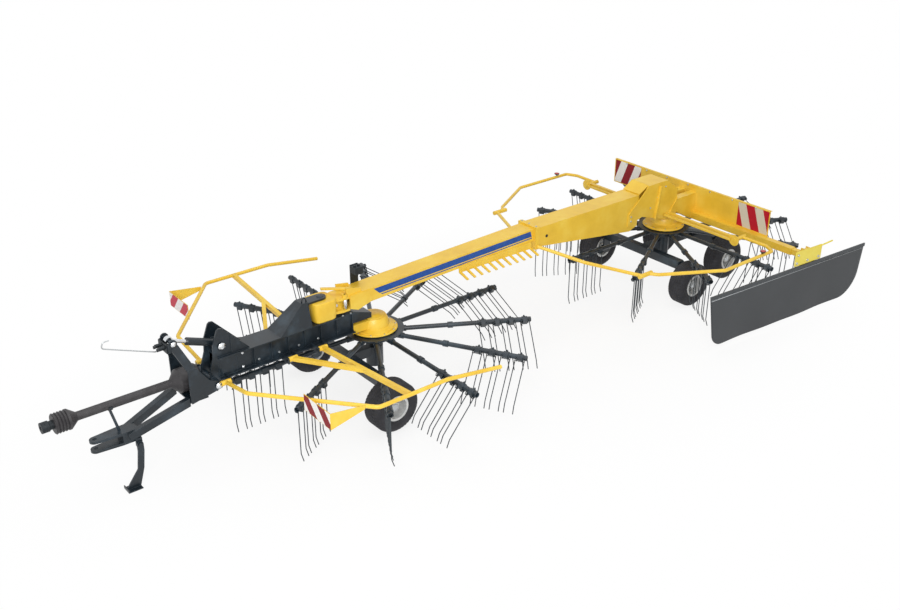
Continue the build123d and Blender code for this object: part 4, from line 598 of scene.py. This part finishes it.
def sheet_edges(height):
    """Front and rear edge of the sheet at a height: slanted lines that end in quarter rounds below."""
    fall = (SHEET_TOP - height) / (SHEET_TOP - SHEET_LOW)
    cuts = []
    for radius in (FRONT_ROUND, BACK_ROUND):
        rise = np.clip(SHEET_LOW + radius - height, 0, radius)
        cuts.append(radius - np.sqrt(radius ** 2 - rise ** 2))
    return SHEET_FRONT - FRONT_SLANT * fall - cuts[0], SHEET_BACK + BACK_SLANT * fall + cuts[1]


def hung_sheet():
    """Sheet: rows from top to bottom, closer at the rounds, each from rear to front edge, bowed in long
    waves that grow towards the free edge; and its cut area, summed over strips between the rows."""
    share = np.linspace(0, 1, SHEET_ROWS)
    height = SHEET_LOW + (SHEET_TOP - SHEET_LOW) * np.cos(share * np.pi / 2) ** ROW_POWER
    front, back = sheet_edges(height)
    width = front - back
    along = back[:, None] + width[:, None] * np.linspace(0, 1, SHEET_COLUMNS)
    slack = ((SHEET_TOP - height) / (SHEET_TOP - SHEET_LOW))[:, None]
    waves = LONG_WAVE * np.sin(along / LONG_SCALE + LONG_START)
    waves = waves + SHORT_WAVE * np.sin(along / SHORT_SCALE + slack * SHORT_LEAN)
    out = SHEET_OUT + slack ** SLACK_POWER * waves / 1000
    points = SHEET_HINGE + along[..., None] / 1000 * SHEET_RUN + out[..., None] * SHEET_FACE
    points[..., 2] += height[:, None] / 1000
    cut = np.sum((width[1:] + width[:-1]) / 2 * -np.diff(height)) / 1e6
    return (points.reshape(-1, 3), grid_faces(SHEET_ROWS, SHEET_COLUMNS)), cut


def clamp_bead(drop):
    """Round bead along the sheet's face, a drop below its top, from edge to edge less a gap."""
    front, back = sheet_edges(np.array(SHEET_TOP - drop))
    ends = np.array([back + BEAD_BACK_GAP, front - BEAD_FRONT_GAP])
    path = SHEET_HINGE + ends[:, None] / 1000 * SHEET_RUN + (SHEET_OUT + BEAD_OUT) * SHEET_FACE
    path[:, 2] += (SHEET_TOP - drop) / 1000
    return carried_wire(path, BEAD_RADIUS, sides=8)


sheet, cut_area = hung_sheet()
curtain = piece("hanging_curtain", sheet, CLOTH, "curtain", replaces=("curtain_sheet",))
thick = curtain.modifiers.new("cloth_thickness", "SOLIDIFY")
thick.thickness = CLOTH_WALL
thick.offset = 0.0
trim = piece("curtain_clamp_beads", gather([clamp_bead(drop) for drop in BEAD_DROPS]), BEAD, "curtain")


# Main frame, in millimetres: beam, hump, cheeks, tail, and the lugs of the front guards
BEAM_BACK, BEAM_FRONT, BEAM_LOW, BEAM_HIGH = 270.0, 1560.0, 690.0, 880.0
WEB_HALF, RIB_HALF, FLANGE_HALF, TOP_FLANGE_HALF, PLATE = 66.0, 84.0, 120.0, 108.0, 10.0
RIB_PLACES = np.linspace(BEAM_BACK, BEAM_FRONT - PLATE, 9)
HUMP_BACK, HUMP_FOOT, HUMP_CREST, HUMP_TOP = 690.0, 1000.0, 750.0, 1090.0
HUMP_HALF, CREST_HALF = 108.0, 52.0
TONGUE_LOW, TONGUE_WALL, TONGUE_ROOT = 1063.0, 18.0, 20.0
KING_PIN, KING_PIN_FOOT = ((0, 32), (211, 32), (216, 27), (218, 10)), 872.0
TAIL, TAIL_HALF = ((300, 878), (60, 800), (60, 752), (300, 752)), 60.0
CHEEK = ((1642, 650), (1642, 760), (1602, 880), (1592, 1000), (1548, 1112), (1530, 1126), (1500, 1122),
         (1272, 880), (1272, 690), (1560, 650))
CHEEK_INNER, CHEEK_FACE = 68.0, 82.0
GUSSET, GUSSET_FACE = ((1290, 880), (1440, 880), (1440, 1040)), 88.0
LUG_PLACES, LUG_WALL = (615.0, 713.0, 905.0, 1003.0, 1520.0), 12.0
LUG_INNER, LUG_OUTER, LUG_HIGH = 110.0, 237.0, 742.0
LUG_PINS, LUG_PIN_RADIUS = ((615.0, 725.0), (905.0, 1015.0), (1520.0, 1618.0)), 10.0
GUARD_HINGE_Y, GUARD_HINGE_Z = 215.0, 720.0
# Cross pins as (x, z) places, the reach of their ends from the middle, and the radius of a bright end
LINK_PIN, LINK_REACH, LINK_END = (1520.0, 970.0), 92.0, 24.0
HITCH_AXIS, HITCH_REACH, HITCH_END = (1620.0, 690.0), 183.0, 20.0
TOP_PIN, TOP_REACH, TOP_END = (1915.0, 1120.0), 90.0, 17.0
LINK_PIN_RADIUS, HITCH_PIN_RADIUS, HITCH_TUBE_RADIUS, HITCH_TUBE_HALF = 22.0, 15.0, 32.0, 159.0
PIN_END = ((-2, 1.35), (3, 1.35), (3, 1), (9, 0.92), (12, 0.6))
# Bolts: places of the first and last of each row, and the size of its heads
CHEEK_BOLT_X, CHEEK_BOLT_LOW, CHEEK_BOLT_HIGH, CHEEK_BOLT = 1345.0, 720.0, 850.0, 13.0
WEB_BOLT_BACK, WEB_BOLT_FRONT, WEB_BOLT_Z = 430.0, 1190.0, 730.0
TOP_BOLT_BACK, TOP_BOLT_FRONT, TOP_BOLT_Y = 300.0, 380.0, 96.0
FRAME_BOLT = 11.0


def pin_ends(pin, reach, radius):
    """Turned washers with a domed end on both ends of a cross pin, as shares of the end's radius."""
    profile = [(along, radius * share) for along, share in PIN_END]
    return [turned(profile, at(pin[0], side * reach, pin[1]), (0, side, 0), sides=20) for side in SIDES]


def bolt_rows(rows, size):
    """Hexagon heads on washers: each row gives a first and last place, a count and the way they point."""
    head = [(-1, size * 1.05), (2, size * 1.05), (2, size * 0.85), (size * 0.6, size * 0.85),
            (size * 0.7, size * 0.7)]
    shapes = []
    for first, last, count, way in rows:
        for share in np.linspace(0, 1, count):
            place = (1 - share) * at(*first) + share * at(*last)
            shapes.append(turned(head, place, way, HEXAGON))
    return shapes


cheek_rows = [((CHEEK_BOLT_X, side * CHEEK_FACE, CHEEK_BOLT_LOW),
               (CHEEK_BOLT_X, side * CHEEK_FACE, CHEEK_BOLT_HIGH), 2, (0, side, 0)) for side in SIDES]
hitch_ends = pin_ends(LINK_PIN, LINK_REACH, LINK_END) + pin_ends(HITCH_AXIS, HITCH_REACH, HITCH_END)
piece("hitch_pin_ends", gather(hitch_ends + bolt_rows(cheek_rows, CHEEK_BOLT)), CHROME, "chassis")
piece("top_pin_ends", gather(pin_ends(TOP_PIN, TOP_REACH, TOP_END)), CHROME, "drawbar")
frame_rows = [((WEB_BOLT_BACK, side * WEB_HALF, WEB_BOLT_Z),
               (WEB_BOLT_FRONT, side * WEB_HALF, WEB_BOLT_Z), 5, (0, side, 0)) for side in SIDES]
frame_rows += [((TOP_BOLT_BACK, side * TOP_BOLT_Y, BEAM_HIGH),
                (TOP_BOLT_FRONT, side * TOP_BOLT_Y, BEAM_HIGH), 2, (0, 0, 1)) for side in SIDES]
piece("frame_bolts", gather(bolt_rows(frame_rows, FRAME_BOLT)), ZINC, "chassis", smooth=False)


# Boom pivot: a rounded block on the king pin with two ears behind it, in millimetres
BLOCK_MIDDLE, BLOCK_HALF, BLOCK_LOW, BLOCK_POWER = 540.0, 114.0, 881.0, 5.0
# Levels of the block: height above its foot, and how far its half length and half width fall short
BLOCK_LEVELS = ((0, 14, 12), (8, 8, 6), (60, 3, 2), (140, 0, 0), (172, 2, 2), (180, 8, 8))
EAR_END, EAR_WALL = 300.0, 22.0
EAR_LEVELS = (905.0, 1018.0)
EAR = ((EAR_END, -92), (EAR_END, 92), (EAR_END + 70, 96), (480, 70), (480, -70), (EAR_END + 70, -96))
WAIST = ((EAR_END, -62), (EAR_END, 40), (460, 62), (460, -62))
WAIST_LOW, WAIST_WALL = 921.0, 102.0
SWING_PIN, SWING_PIN_LOW, SWING_LUG_LOW = (338.0, 74.0), 898.0, 1040.0
SWING_PIN_PROFILE = ((0, 20), (150, 20), (150, 14), (166, 14), (168, 10))
SWING_LUG = ((0, 26), (26, 26))
SIDE_STUD, SIDE_STUD_PLACE = ((0, 16), (10, 16), (12, 12)), (430.0, 71.0, 985.0)


def rounded_loft(levels, power, sides=48):
    """Rounded block: a superellipse on each level of (height, half length, half width), ends closed."""
    levels = np.asarray(levels, float)
    turn = full_turn(sides)
    wave = np.stack([np.cos(turn), np.sin(turn)], -1)
    ring = np.sign(wave) * np.abs(wave) ** (2 / power)
    heights = np.broadcast_to(levels[:, None, :1], (len(levels), sides, 1))
    return closed_skin(np.concatenate([levels[:, None, 1:] * ring, heights], -1))


def pivot_casting():
    """Pivot block that narrows a little to its foot, a waist behind it with two plates, and a pin lug."""
    levels = [(BLOCK_LOW + rise, BLOCK_HALF - short, BLOCK_HALF - slim)
              for rise, short, slim in BLOCK_LEVELS]
    block, faces = rounded_loft(levels, BLOCK_POWER)
    block = (block + [BLOCK_MIDDLE, 0, 0]) / 1000 + at(0, 0, 0)
    ears = [level_plate(EAR, level, EAR_WALL) for level in EAR_LEVELS]
    lug = turned(SWING_LUG, at(*SWING_PIN, SWING_LUG_LOW), (0, 0, 1), sides=20)
    return gather([(block, faces), level_plate(WAIST, WAIST_LOW, WAIST_WALL)] + ears + [lug])


piece("pivot_casting", pivot_casting(), YELLOW, "boom", smooth=False, replaces=("boom_pivot_head",))
swing_pin = turned(SWING_PIN_PROFILE, at(*SWING_PIN, SWING_PIN_LOW), (0, 0, 1), sides=20)
side_stud = turned(SIDE_STUD, at(*SIDE_STUD_PLACE), (0, 1, 0), sides=16)
piece("swing_pin", gather([swing_pin, side_stud]), CHROME, "boom")


def hump():
    """Hump: a rectangle on the beam drawn straight to a smaller one at the crest, closed at both ends."""
    foot = places([(HUMP_BACK, -HUMP_HALF, BEAM_HIGH), (HUMP_FOOT, -HUMP_HALF, BEAM_HIGH),
                   (HUMP_FOOT, HUMP_HALF, BEAM_HIGH), (HUMP_BACK, HUMP_HALF, BEAM_HIGH)])
    crest = places([(HUMP_BACK, -CREST_HALF, HUMP_TOP), (HUMP_CREST, -CREST_HALF, HUMP_TOP),
                    (HUMP_CREST, CREST_HALF, HUMP_TOP), (HUMP_BACK, CREST_HALF, HUMP_TOP)])
    return closed_skin(np.stack([foot, crest]))


def tongue():
    """Tongue over the pivot: a strip from the hump that ends in a half round about the king pin."""
    turn = np.linspace(-np.pi / 2, np.pi / 2, 13)
    root = HUMP_BACK + TONGUE_ROOT
    outline = [(BLOCK_MIDDLE - CREST_HALF * np.cos(a), CREST_HALF * np.sin(a)) for a in turn]
    return level_plate(outline + [(root, CREST_HALF), (root, -CREST_HALF)], TONGUE_LOW, TONGUE_WALL)


def cross_bar(pin, half, radius):
    """Round bar across the machine."""
    return turned([(-half, radius), (half, radius)], at(pin[0], 0, pin[1]), (0, 1, 0))


def main_frame():
    """Welded frame: flanged beam with ribs, hump with its tongue, king pin, tail, cheeks, lugs and pins."""
    length, web = (BEAM_BACK, BEAM_FRONT), (BEAM_LOW + PLATE, BEAM_HIGH - PLATE)
    shapes = [bar_block(length, (-WEB_HALF, WEB_HALF), web),
              bar_block(length, (-FLANGE_HALF, FLANGE_HALF), (BEAM_LOW, BEAM_LOW + PLATE)),
              bar_block(length, (-TOP_FLANGE_HALF, TOP_FLANGE_HALF), (BEAM_HIGH - PLATE, BEAM_HIGH)), hump()]
    shapes += [bar_block((x, x + PLATE), (-RIB_HALF, RIB_HALF), web) for x in RIB_PLACES]
    shapes.append(tongue())
    shapes.append(turned(KING_PIN, at(BLOCK_MIDDLE, 0, KING_PIN_FOOT), (0, 0, 1)))
    shapes.append(upright_plate(TAIL, -TAIL_HALF, TAIL_HALF))
    for side in SIDES:
        shapes.append(upright_plate(CHEEK, side * CHEEK_INNER, side * CHEEK_FACE))
        shapes.append(upright_plate(GUSSET, side * CHEEK_FACE, side * GUSSET_FACE))
        lug_width = sorted((side * LUG_INNER, side * LUG_OUTER))
        shapes += [bar_block((x, x + LUG_WALL), lug_width, (BEAM_LOW, LUG_HIGH)) for x in LUG_PLACES]
        shapes += [turned([(0, LUG_PIN_RADIUS), (end - start, LUG_PIN_RADIUS)],
                          at(start, side * GUARD_HINGE_Y, GUARD_HINGE_Z), (1, 0, 0), sides=16)
                   for start, end in LUG_PINS]
    shapes += [cross_bar(HITCH_AXIS, HITCH_TUBE_HALF, HITCH_TUBE_RADIUS),
               cross_bar(HITCH_AXIS, HITCH_REACH, HITCH_PIN_RADIUS),
               cross_bar(LINK_PIN, LINK_REACH, LINK_PIN_RADIUS)]
    return gather(shapes)


piece("main_frame", main_frame(), BLACK, "chassis", smooth=False, replaces=("front_frame",))

# Hole in the rear boom's left side, as a thin dark disc: painted shade in place of the shaded inside of the
# hole
SIDE_HOLE, SIDE_HOLE_PLACE = ((0, 16), (1.5, 16), (1.5, 3)), (-1990.0, 112.0, 1003.0)
piece("boom_side_hole_shade_disc", turned(SIDE_HOLE, at(*SIDE_HOLE_PLACE), (0, 1, 0)), DARK_STEEL, "boom", smooth=False)

# Boom nose: a lever on its post, two horns and an ear plate on the tube's front end
LEVER, LEVER_LEVEL = ((470, -104), (484, -70), (300, 60), (262, 84), (250, 58), (440, -84)), 1090.0
LEVER_POST, LEVER_POST_PLACE = ((0, 14), (60, 14)), (275.0, 62.0, 1040.0)
LEFT_HORN = ((322, 1040), (330, 1120), (180, 1086), (170, 1040))
RIGHT_HORN = ((322, 1040), (330, 1100), (200, 1076), (190, 1040))
HORN_INNER, HORN_OUTER = 74.0, 86.0
NOSE_PLATE = ((300, 922), (300, 1044), (120, 1046), (60, 940), (222, 892))
LEVER_WALL, NOSE_WALL = 12.0, 8.0
nose_shapes = [level_plate(LEVER, LEVER_LEVEL, LEVER_WALL),
               turned(LEVER_POST, at(*LEVER_POST_PLACE), (0, 0, 1), sides=16),
               upright_plate(LEFT_HORN, HORN_INNER, HORN_OUTER),
               upright_plate(RIGHT_HORN, -HORN_OUTER, -HORN_INNER),
               upright_plate(NOSE_PLATE, BOOM_SIDE, BOOM_SIDE + NOSE_WALL)]
piece("boom_nose_levers", gather(nose_shapes), YELLOW, "boom", smooth=False)

# Gear covers: place, brim radius, level of the bolts and body of each, and the front one's lid
COVERS = {"front": (0.0, 214.0, 624.0, "chassis"), "rear": (-3866.0, 222.0, 634.0, "boom")}
# Brim as heights and steps from its radius
BRIM, BRIM_LEVEL = ((0, -40), (0, -4), (3, 0), (9, 0), (12, -4), (12, -40)), 612.0
COVER_BOLTS, COVER_BOLT, COVER_BOLT_INSET, COVER_BOLT_TURN = 10, 7.0, 16.0, 0.2
LID, LID_LEVEL = ((0, 104), (7, 102), (9, 96), (9, 64), (14, 60), (14, 20)), 734.0


def cover_brim(x, radius):
    """Stepped brim: a thin disc with a rolled edge, spun about the rotor's axis."""
    profile = [(height, radius + step) for height, step in BRIM]
    return turned(profile, at(x, 0, BRIM_LEVEL), (0, 0, 1), sides=56)


def ring_of_bolts(x, radius, z):
    """Hexagon heads on washers, evenly round a vertical axis."""
    head = [(0, COVER_BOLT * 1.2), (2, COVER_BOLT * 1.2), (2, COVER_BOLT), (COVER_BOLT * 0.8, COVER_BOLT)]
    return gather([turned(head, at(x + radius * np.cos(a), radius * np.sin(a), z), (0, 0, 1), HEXAGON)
                   for a in full_turn(COVER_BOLTS) + COVER_BOLT_TURN])


for name, (x, radius, level, body) in COVERS.items():
    piece(name + "_cover_brim", cover_brim(x, radius), YELLOW, body)
    bolts = ring_of_bolts(x, radius - COVER_BOLT_INSET, level)
    piece(name + "_cover_bolts", bolts, ZINC, body, smooth=False)
piece("front_cover_lid", turned(LID, at(0, 0, LID_LEVEL), (0, 0, 1), sides=48), YELLOW, "chassis")

# Tower: a sloped hood plate, side stiffeners and gussets at the rear
HOOD_BACK, HOOD_FRONT, HOOD_HALF, HOOD_WALL = (-3432.0, 1184.0), (-3300.0, 1113.0), 112.0, 10.0
TOWER_SIDE, STIFFENER_FACE, GUSSET_PLATE_FACE = 124.0, 152.0, 136.0
STIFFENER = ((-3560, 790), (-3548, 790), (-3600, 1150), (-3612, 1150))
REAR_GUSSET = ((-3900, 760), (-3760, 760), (-3900, 960))
hood = slab(places([(HOOD_BACK[0], -HOOD_HALF, HOOD_BACK[1]), (HOOD_BACK[0], HOOD_HALF, HOOD_BACK[1]),
                    (HOOD_FRONT[0], HOOD_HALF, HOOD_FRONT[1]), (HOOD_FRONT[0], -HOOD_HALF, HOOD_FRONT[1])]),
            (0, 0, HOOD_WALL / 1000))
stiffeners = [upright_plate(STIFFENER, side * TOWER_SIDE, side * STIFFENER_FACE) for side in SIDES]
gussets = [upright_plate(REAR_GUSSET, side * TOWER_SIDE, side * GUSSET_PLATE_FACE) for side in SIDES]
piece("tower_hood", gather([hood] + stiffeners + gussets), YELLOW, "boom", smooth=False)

# Bolts on the boom: (x, z) ends and count of the rows on the tower's sides, then panel and collar
TOWER_ROWS = (((-3190, 850), (-3190, 900), 2), ((-3480, 930), (-3700, 1120), 3))
PANEL_ROW = ((-4226, -900, 985), (-4226, 900, 985), 7, (1, 0, 0))
COLLAR_ROW = ((-1856, -100, 1129), (-1856, 100, 1129), 3, (0, 0, 1))
BOOM_BOLT = 10.0
boom_rows = [((first[0], side * TOWER_SIDE, first[1]), (last[0], side * TOWER_SIDE, last[1]), count,
              (0, side, 0)) for first, last, count in TOWER_ROWS for side in SIDES]
boom_bolts = bolt_rows(boom_rows + [PANEL_ROW, COLLAR_ROW], BOOM_BOLT)
piece("boom_bolts", gather(boom_bolts), ZINC, "boom", smooth=False)

# Fold joints of the rear guards: round leaf plates and the brace along each arm
LEAF_X, FOLD_Y, FOLD_Z, LEAF_RADIUS, LEAF_WALL, LEAF_STEP = -3727.0, 1040.0, 800.0, 58.0, 8.0, 6.0
BRACE_X, BRACE_WALL = -3712.0, 14.0
BRACE_INNER, BRACE_OUTER, BRACE_LOW, BRACE_HIGH = 130.0, 1010.0, 790.0, 812.0


def leaf_plate(side):
    """Round leaf plate square to the fold axis: a disc with a small step at its middle."""
    profile = [(0, LEAF_RADIUS), (LEAF_WALL, LEAF_RADIUS), (LEAF_WALL, LEAF_RADIUS * 0.45),
               (LEAF_WALL + LEAF_STEP, LEAF_RADIUS * 0.4)]
    return turned(profile, at(LEAF_X, side * FOLD_Y, FOLD_Z), (1, 0, 0), sides=28)


def arm_brace(side):
    """Flat brace along a guard arm: an upright strip carried forward by its wall."""
    strip = [(BRACE_INNER, BRACE_LOW), (BRACE_INNER, BRACE_HIGH), (BRACE_OUTER, BRACE_HIGH),
             (BRACE_OUTER, BRACE_LOW)]
    return slab(places([(BRACE_X, side * y, z) for y, z in strip]), (BRACE_WALL / 1000, 0, 0))


leaves = [leaf_plate(side) for side in SIDES]
braces = [arm_brace(side) for side in SIDES]
piece("fold_leaf_plates", gather(leaves + braces), YELLOW, "boom", smooth=False)

# Reflectors on the rear guards' loops
REFLECTOR_X, REFLECTOR_Y, REFLECTOR_Z = -3640.0, 1450.0, 815.0
REFLECTOR_CUP = ((0, 7), (18, 7), (18, 26), (26, 30), (30, 30))
REFLECTOR_LENS = ((30, 27), (34, 24), (37, 14), (38, 4))
for name, side in (("left", 1), ("right", -1)):
    mount = at(REFLECTOR_X, side * REFLECTOR_Y, REFLECTOR_Z)
    cup = turned(REFLECTOR_CUP, mount, (0, 0, 1), sides=20)
    piece("reflector_cup_" + name, cup, SHAFT_PLASTIC, "rear_guard_" + name)
    lens = turned(REFLECTOR_LENS, mount, (0, 0, 1), sides=20)
    piece("reflector_lens_" + name, lens, LENS, "rear_guard_" + name)

# Curtain holder: (along, up) outline of its face plate, the bolts on it, and the handle rod
FACE_PLATE = ((-190, 626), (205, 626), (212, 640), (212, 770), (198, 786), (-176, 786), (-190, 770))
FACE_PLATE_OUT, FACE_PLATE_WALL = 35.4, 4.2
HANDLE, HANDLE_RADIUS = ((-150, 774, 44), (-190, 778, 47), (-330, 790, 50)), 0.008
FACE_BOLT = ((0, 15), (3, 15), (3, 11), (11, 11))
FACE_BOLT_PLACES = ((170, 745), (-150, 660), (20, 660), (180, 660))


def on_sheet(along, up, out):
    """Row frame place of a point by the curtain: along it from the hinge, its height, and how far out."""
    point = SHEET_HINGE + along / 1000 * SHEET_RUN + out / 1000 * SHEET_FACE
    point[2] += up / 1000
    return point


face_outline = [on_sheet(x, z, FACE_PLATE_OUT) for x, z in FACE_PLATE]
face_plate = slab(face_outline, SHEET_FACE * FACE_PLATE_WALL / 1000)
handle = carried_wire([on_sheet(*point) for point in HANDLE], HANDLE_RADIUS, sides=8)
piece("holder_face_plate", gather([face_plate, handle]), LEMON, "curtain", smooth=False)
holder_bolts = [turned(FACE_BOLT, on_sheet(x, z, FACE_PLATE_OUT + FACE_PLATE_WALL), SHEET_FACE, HEXAGON)
                for x, z in FACE_BOLT_PLACES]
piece("holder_bolts", gather(holder_bolts), ZINC, "curtain", smooth=False)

# Lifting ring on the hump's crest: half an ellipse of round bar
RING_X, RING_Y, RING_Z, RING_HALF, RING_RISE, RING_RADIUS = 715.0, 30.0, 1086.0, 22.0, 44.0, 0.006
ring_path = [(RING_X + RING_HALF * np.cos(a), RING_Y, RING_Z + RING_RISE * np.sin(a))
             for a in np.linspace(0, np.pi, 13)]
piece("lifting_ring", carried_wire(places(ring_path), RING_RADIUS, sides=8), BLACK, "chassis")


# Floor and lights in metres and watts, and the camera's place in millimetres
FLOOR_HALF = 60.0
FLOOR_SHADE_SPAN = (0.2, 0.34, 0.0)
KEY_PLACE, KEY_TARGET, KEY_SIZE, KEY_POWER = (7.0, 8.0, 6.5), (0.0, 0.0, 0.6), 6.0, 880.0
TOP_PLACE, TOP_TARGET, TOP_SIZE, TOP_POWER = (-1.0, 0.0, 10.0), (-1.0, 0.0, 0.0), 9.0, 330.0
WORLD_LIGHT = 0.42
CAMERA_PLACE, CAMERA_WAY = (4791.0, 7044.0, 5062.0), (-0.5608, -0.6974, -0.4462)
CAMERA_LENS, CAMERA_SENSOR = 42.96, 36.0


def seen_directly(tree):
    """One for rays from the camera, in a reflection or through glass, and nought for other rays."""
    path = add(tree, "ShaderNodeLightPath")
    mirror = add(tree, "ShaderNodeMath", {0: path.outputs["Is Glossy Ray"],
                                          1: path.outputs["Is Transmission Ray"]}, operation="MAXIMUM")
    either = add(tree, "ShaderNodeMath", {0: path.outputs["Is Camera Ray"], 1: mirror.outputs[0]},
                 operation="MAXIMUM")
    return either.outputs[0]


def stage_floor():
    """Pale floor: a large level square, seen as white far from the object, with soft shadows close to it."""
    made, tree, shader = surface_material("pale_studio_floor", **{"Roughness": 0.95,
                                                                  "Specular IOR Level": 0.0})
    shader.inputs["Base Color"].default_value = linear("#F7F7F7")
    glow = add(tree, "ShaderNodeEmission", {"Color": (1, 1, 1, 1), "Strength": 1.0})
    place = add(tree, "ShaderNodeTexCoord").outputs["Object"]
    reach = add(tree, "ShaderNodeVectorMath", {0: place, 1: FLOOR_SHADE_SPAN}, operation="MULTIPLY")
    length = add(tree, "ShaderNodeVectorMath", {0: reach.outputs[0]}, operation="LENGTH")
    far = add(tree, "ShaderNodeMapRange", {"Value": length.outputs["Value"], "From Min": 0.35,
                                           "From Max": 1.0, "To Min": 0.8, "To Max": 1.0})
    share = add(tree, "ShaderNodeMath", {0: far.outputs[0], 1: seen_directly(tree)}, operation="MULTIPLY")
    blend = add(tree, "ShaderNodeMixShader", {0: share.outputs[0], 1: shader.outputs[0], 2: glow.outputs[0]})
    output = next(node for node in tree.nodes if node.bl_idname == "ShaderNodeOutputMaterial")
    tree.links.new(blend.outputs[0], output.inputs["Surface"])
    mesh = bpy.data.meshes.new("floor")
    corners = [(-FLOOR_HALF, -FLOOR_HALF, 0), (FLOOR_HALF, -FLOOR_HALF, 0), (FLOOR_HALF, FLOOR_HALF, 0),
               (-FLOOR_HALF, FLOOR_HALF, 0)]
    mesh.from_pydata(corners, [], [(0, 1, 2, 3)])
    mesh.materials.append(made)
    floor = bpy.data.objects.new("floor", mesh)
    bpy.context.scene.collection.objects.link(floor)


def soft_light(name, place, target, size, power):
    """Square soft box at a place, turned to a target."""
    data = bpy.data.lights.new(name, "AREA")
    data.size = size
    data.energy = power
    lamp = bpy.data.objects.new(name, data)
    lamp.location = place
    lamp.rotation_euler = (Vector(target) - Vector(place)).to_track_quat("-Z", "Y").to_euler()
    bpy.context.scene.collection.objects.link(lamp)


def studio_world():
    """White world: full strength where it is seen, and a lower one where it lights the object."""
    world = bpy.data.worlds.new("studio")
    world.use_nodes = True
    tree = world.node_tree
    background = tree.nodes["Background"]
    background.inputs["Color"].default_value = (1, 1, 1, 1)
    strength = add(tree, "ShaderNodeMapRange", {"Value": seen_directly(tree), "To Min": WORLD_LIGHT,
                                                "To Max": 1.0})
    tree.links.new(strength.outputs[0], background.inputs["Strength"])
    bpy.context.scene.world = world


def photo_camera():
    """Camera at the photograph's viewing angle."""
    data = bpy.data.cameras.new("photo_view")
    data.lens = CAMERA_LENS
    data.sensor_width = CAMERA_SENSOR
    camera = bpy.data.objects.new("photo_view", data)
    camera.location = at(*CAMERA_PLACE)
    camera.rotation_mode = "QUATERNION"
    camera.rotation_quaternion = Vector(CAMERA_WAY).to_track_quat("-Z", "Y")
    bpy.context.scene.collection.objects.link(camera)
    bpy.context.scene.camera = camera


stage_floor()
studio_world()
soft_light("key", KEY_PLACE, KEY_TARGET, KEY_SIZE, KEY_POWER)
soft_light("top", TOP_PLACE, TOP_TARGET, TOP_SIZE, TOP_POWER)
photo_camera()
bpy.context.scene.view_settings.view_transform = "Standard"
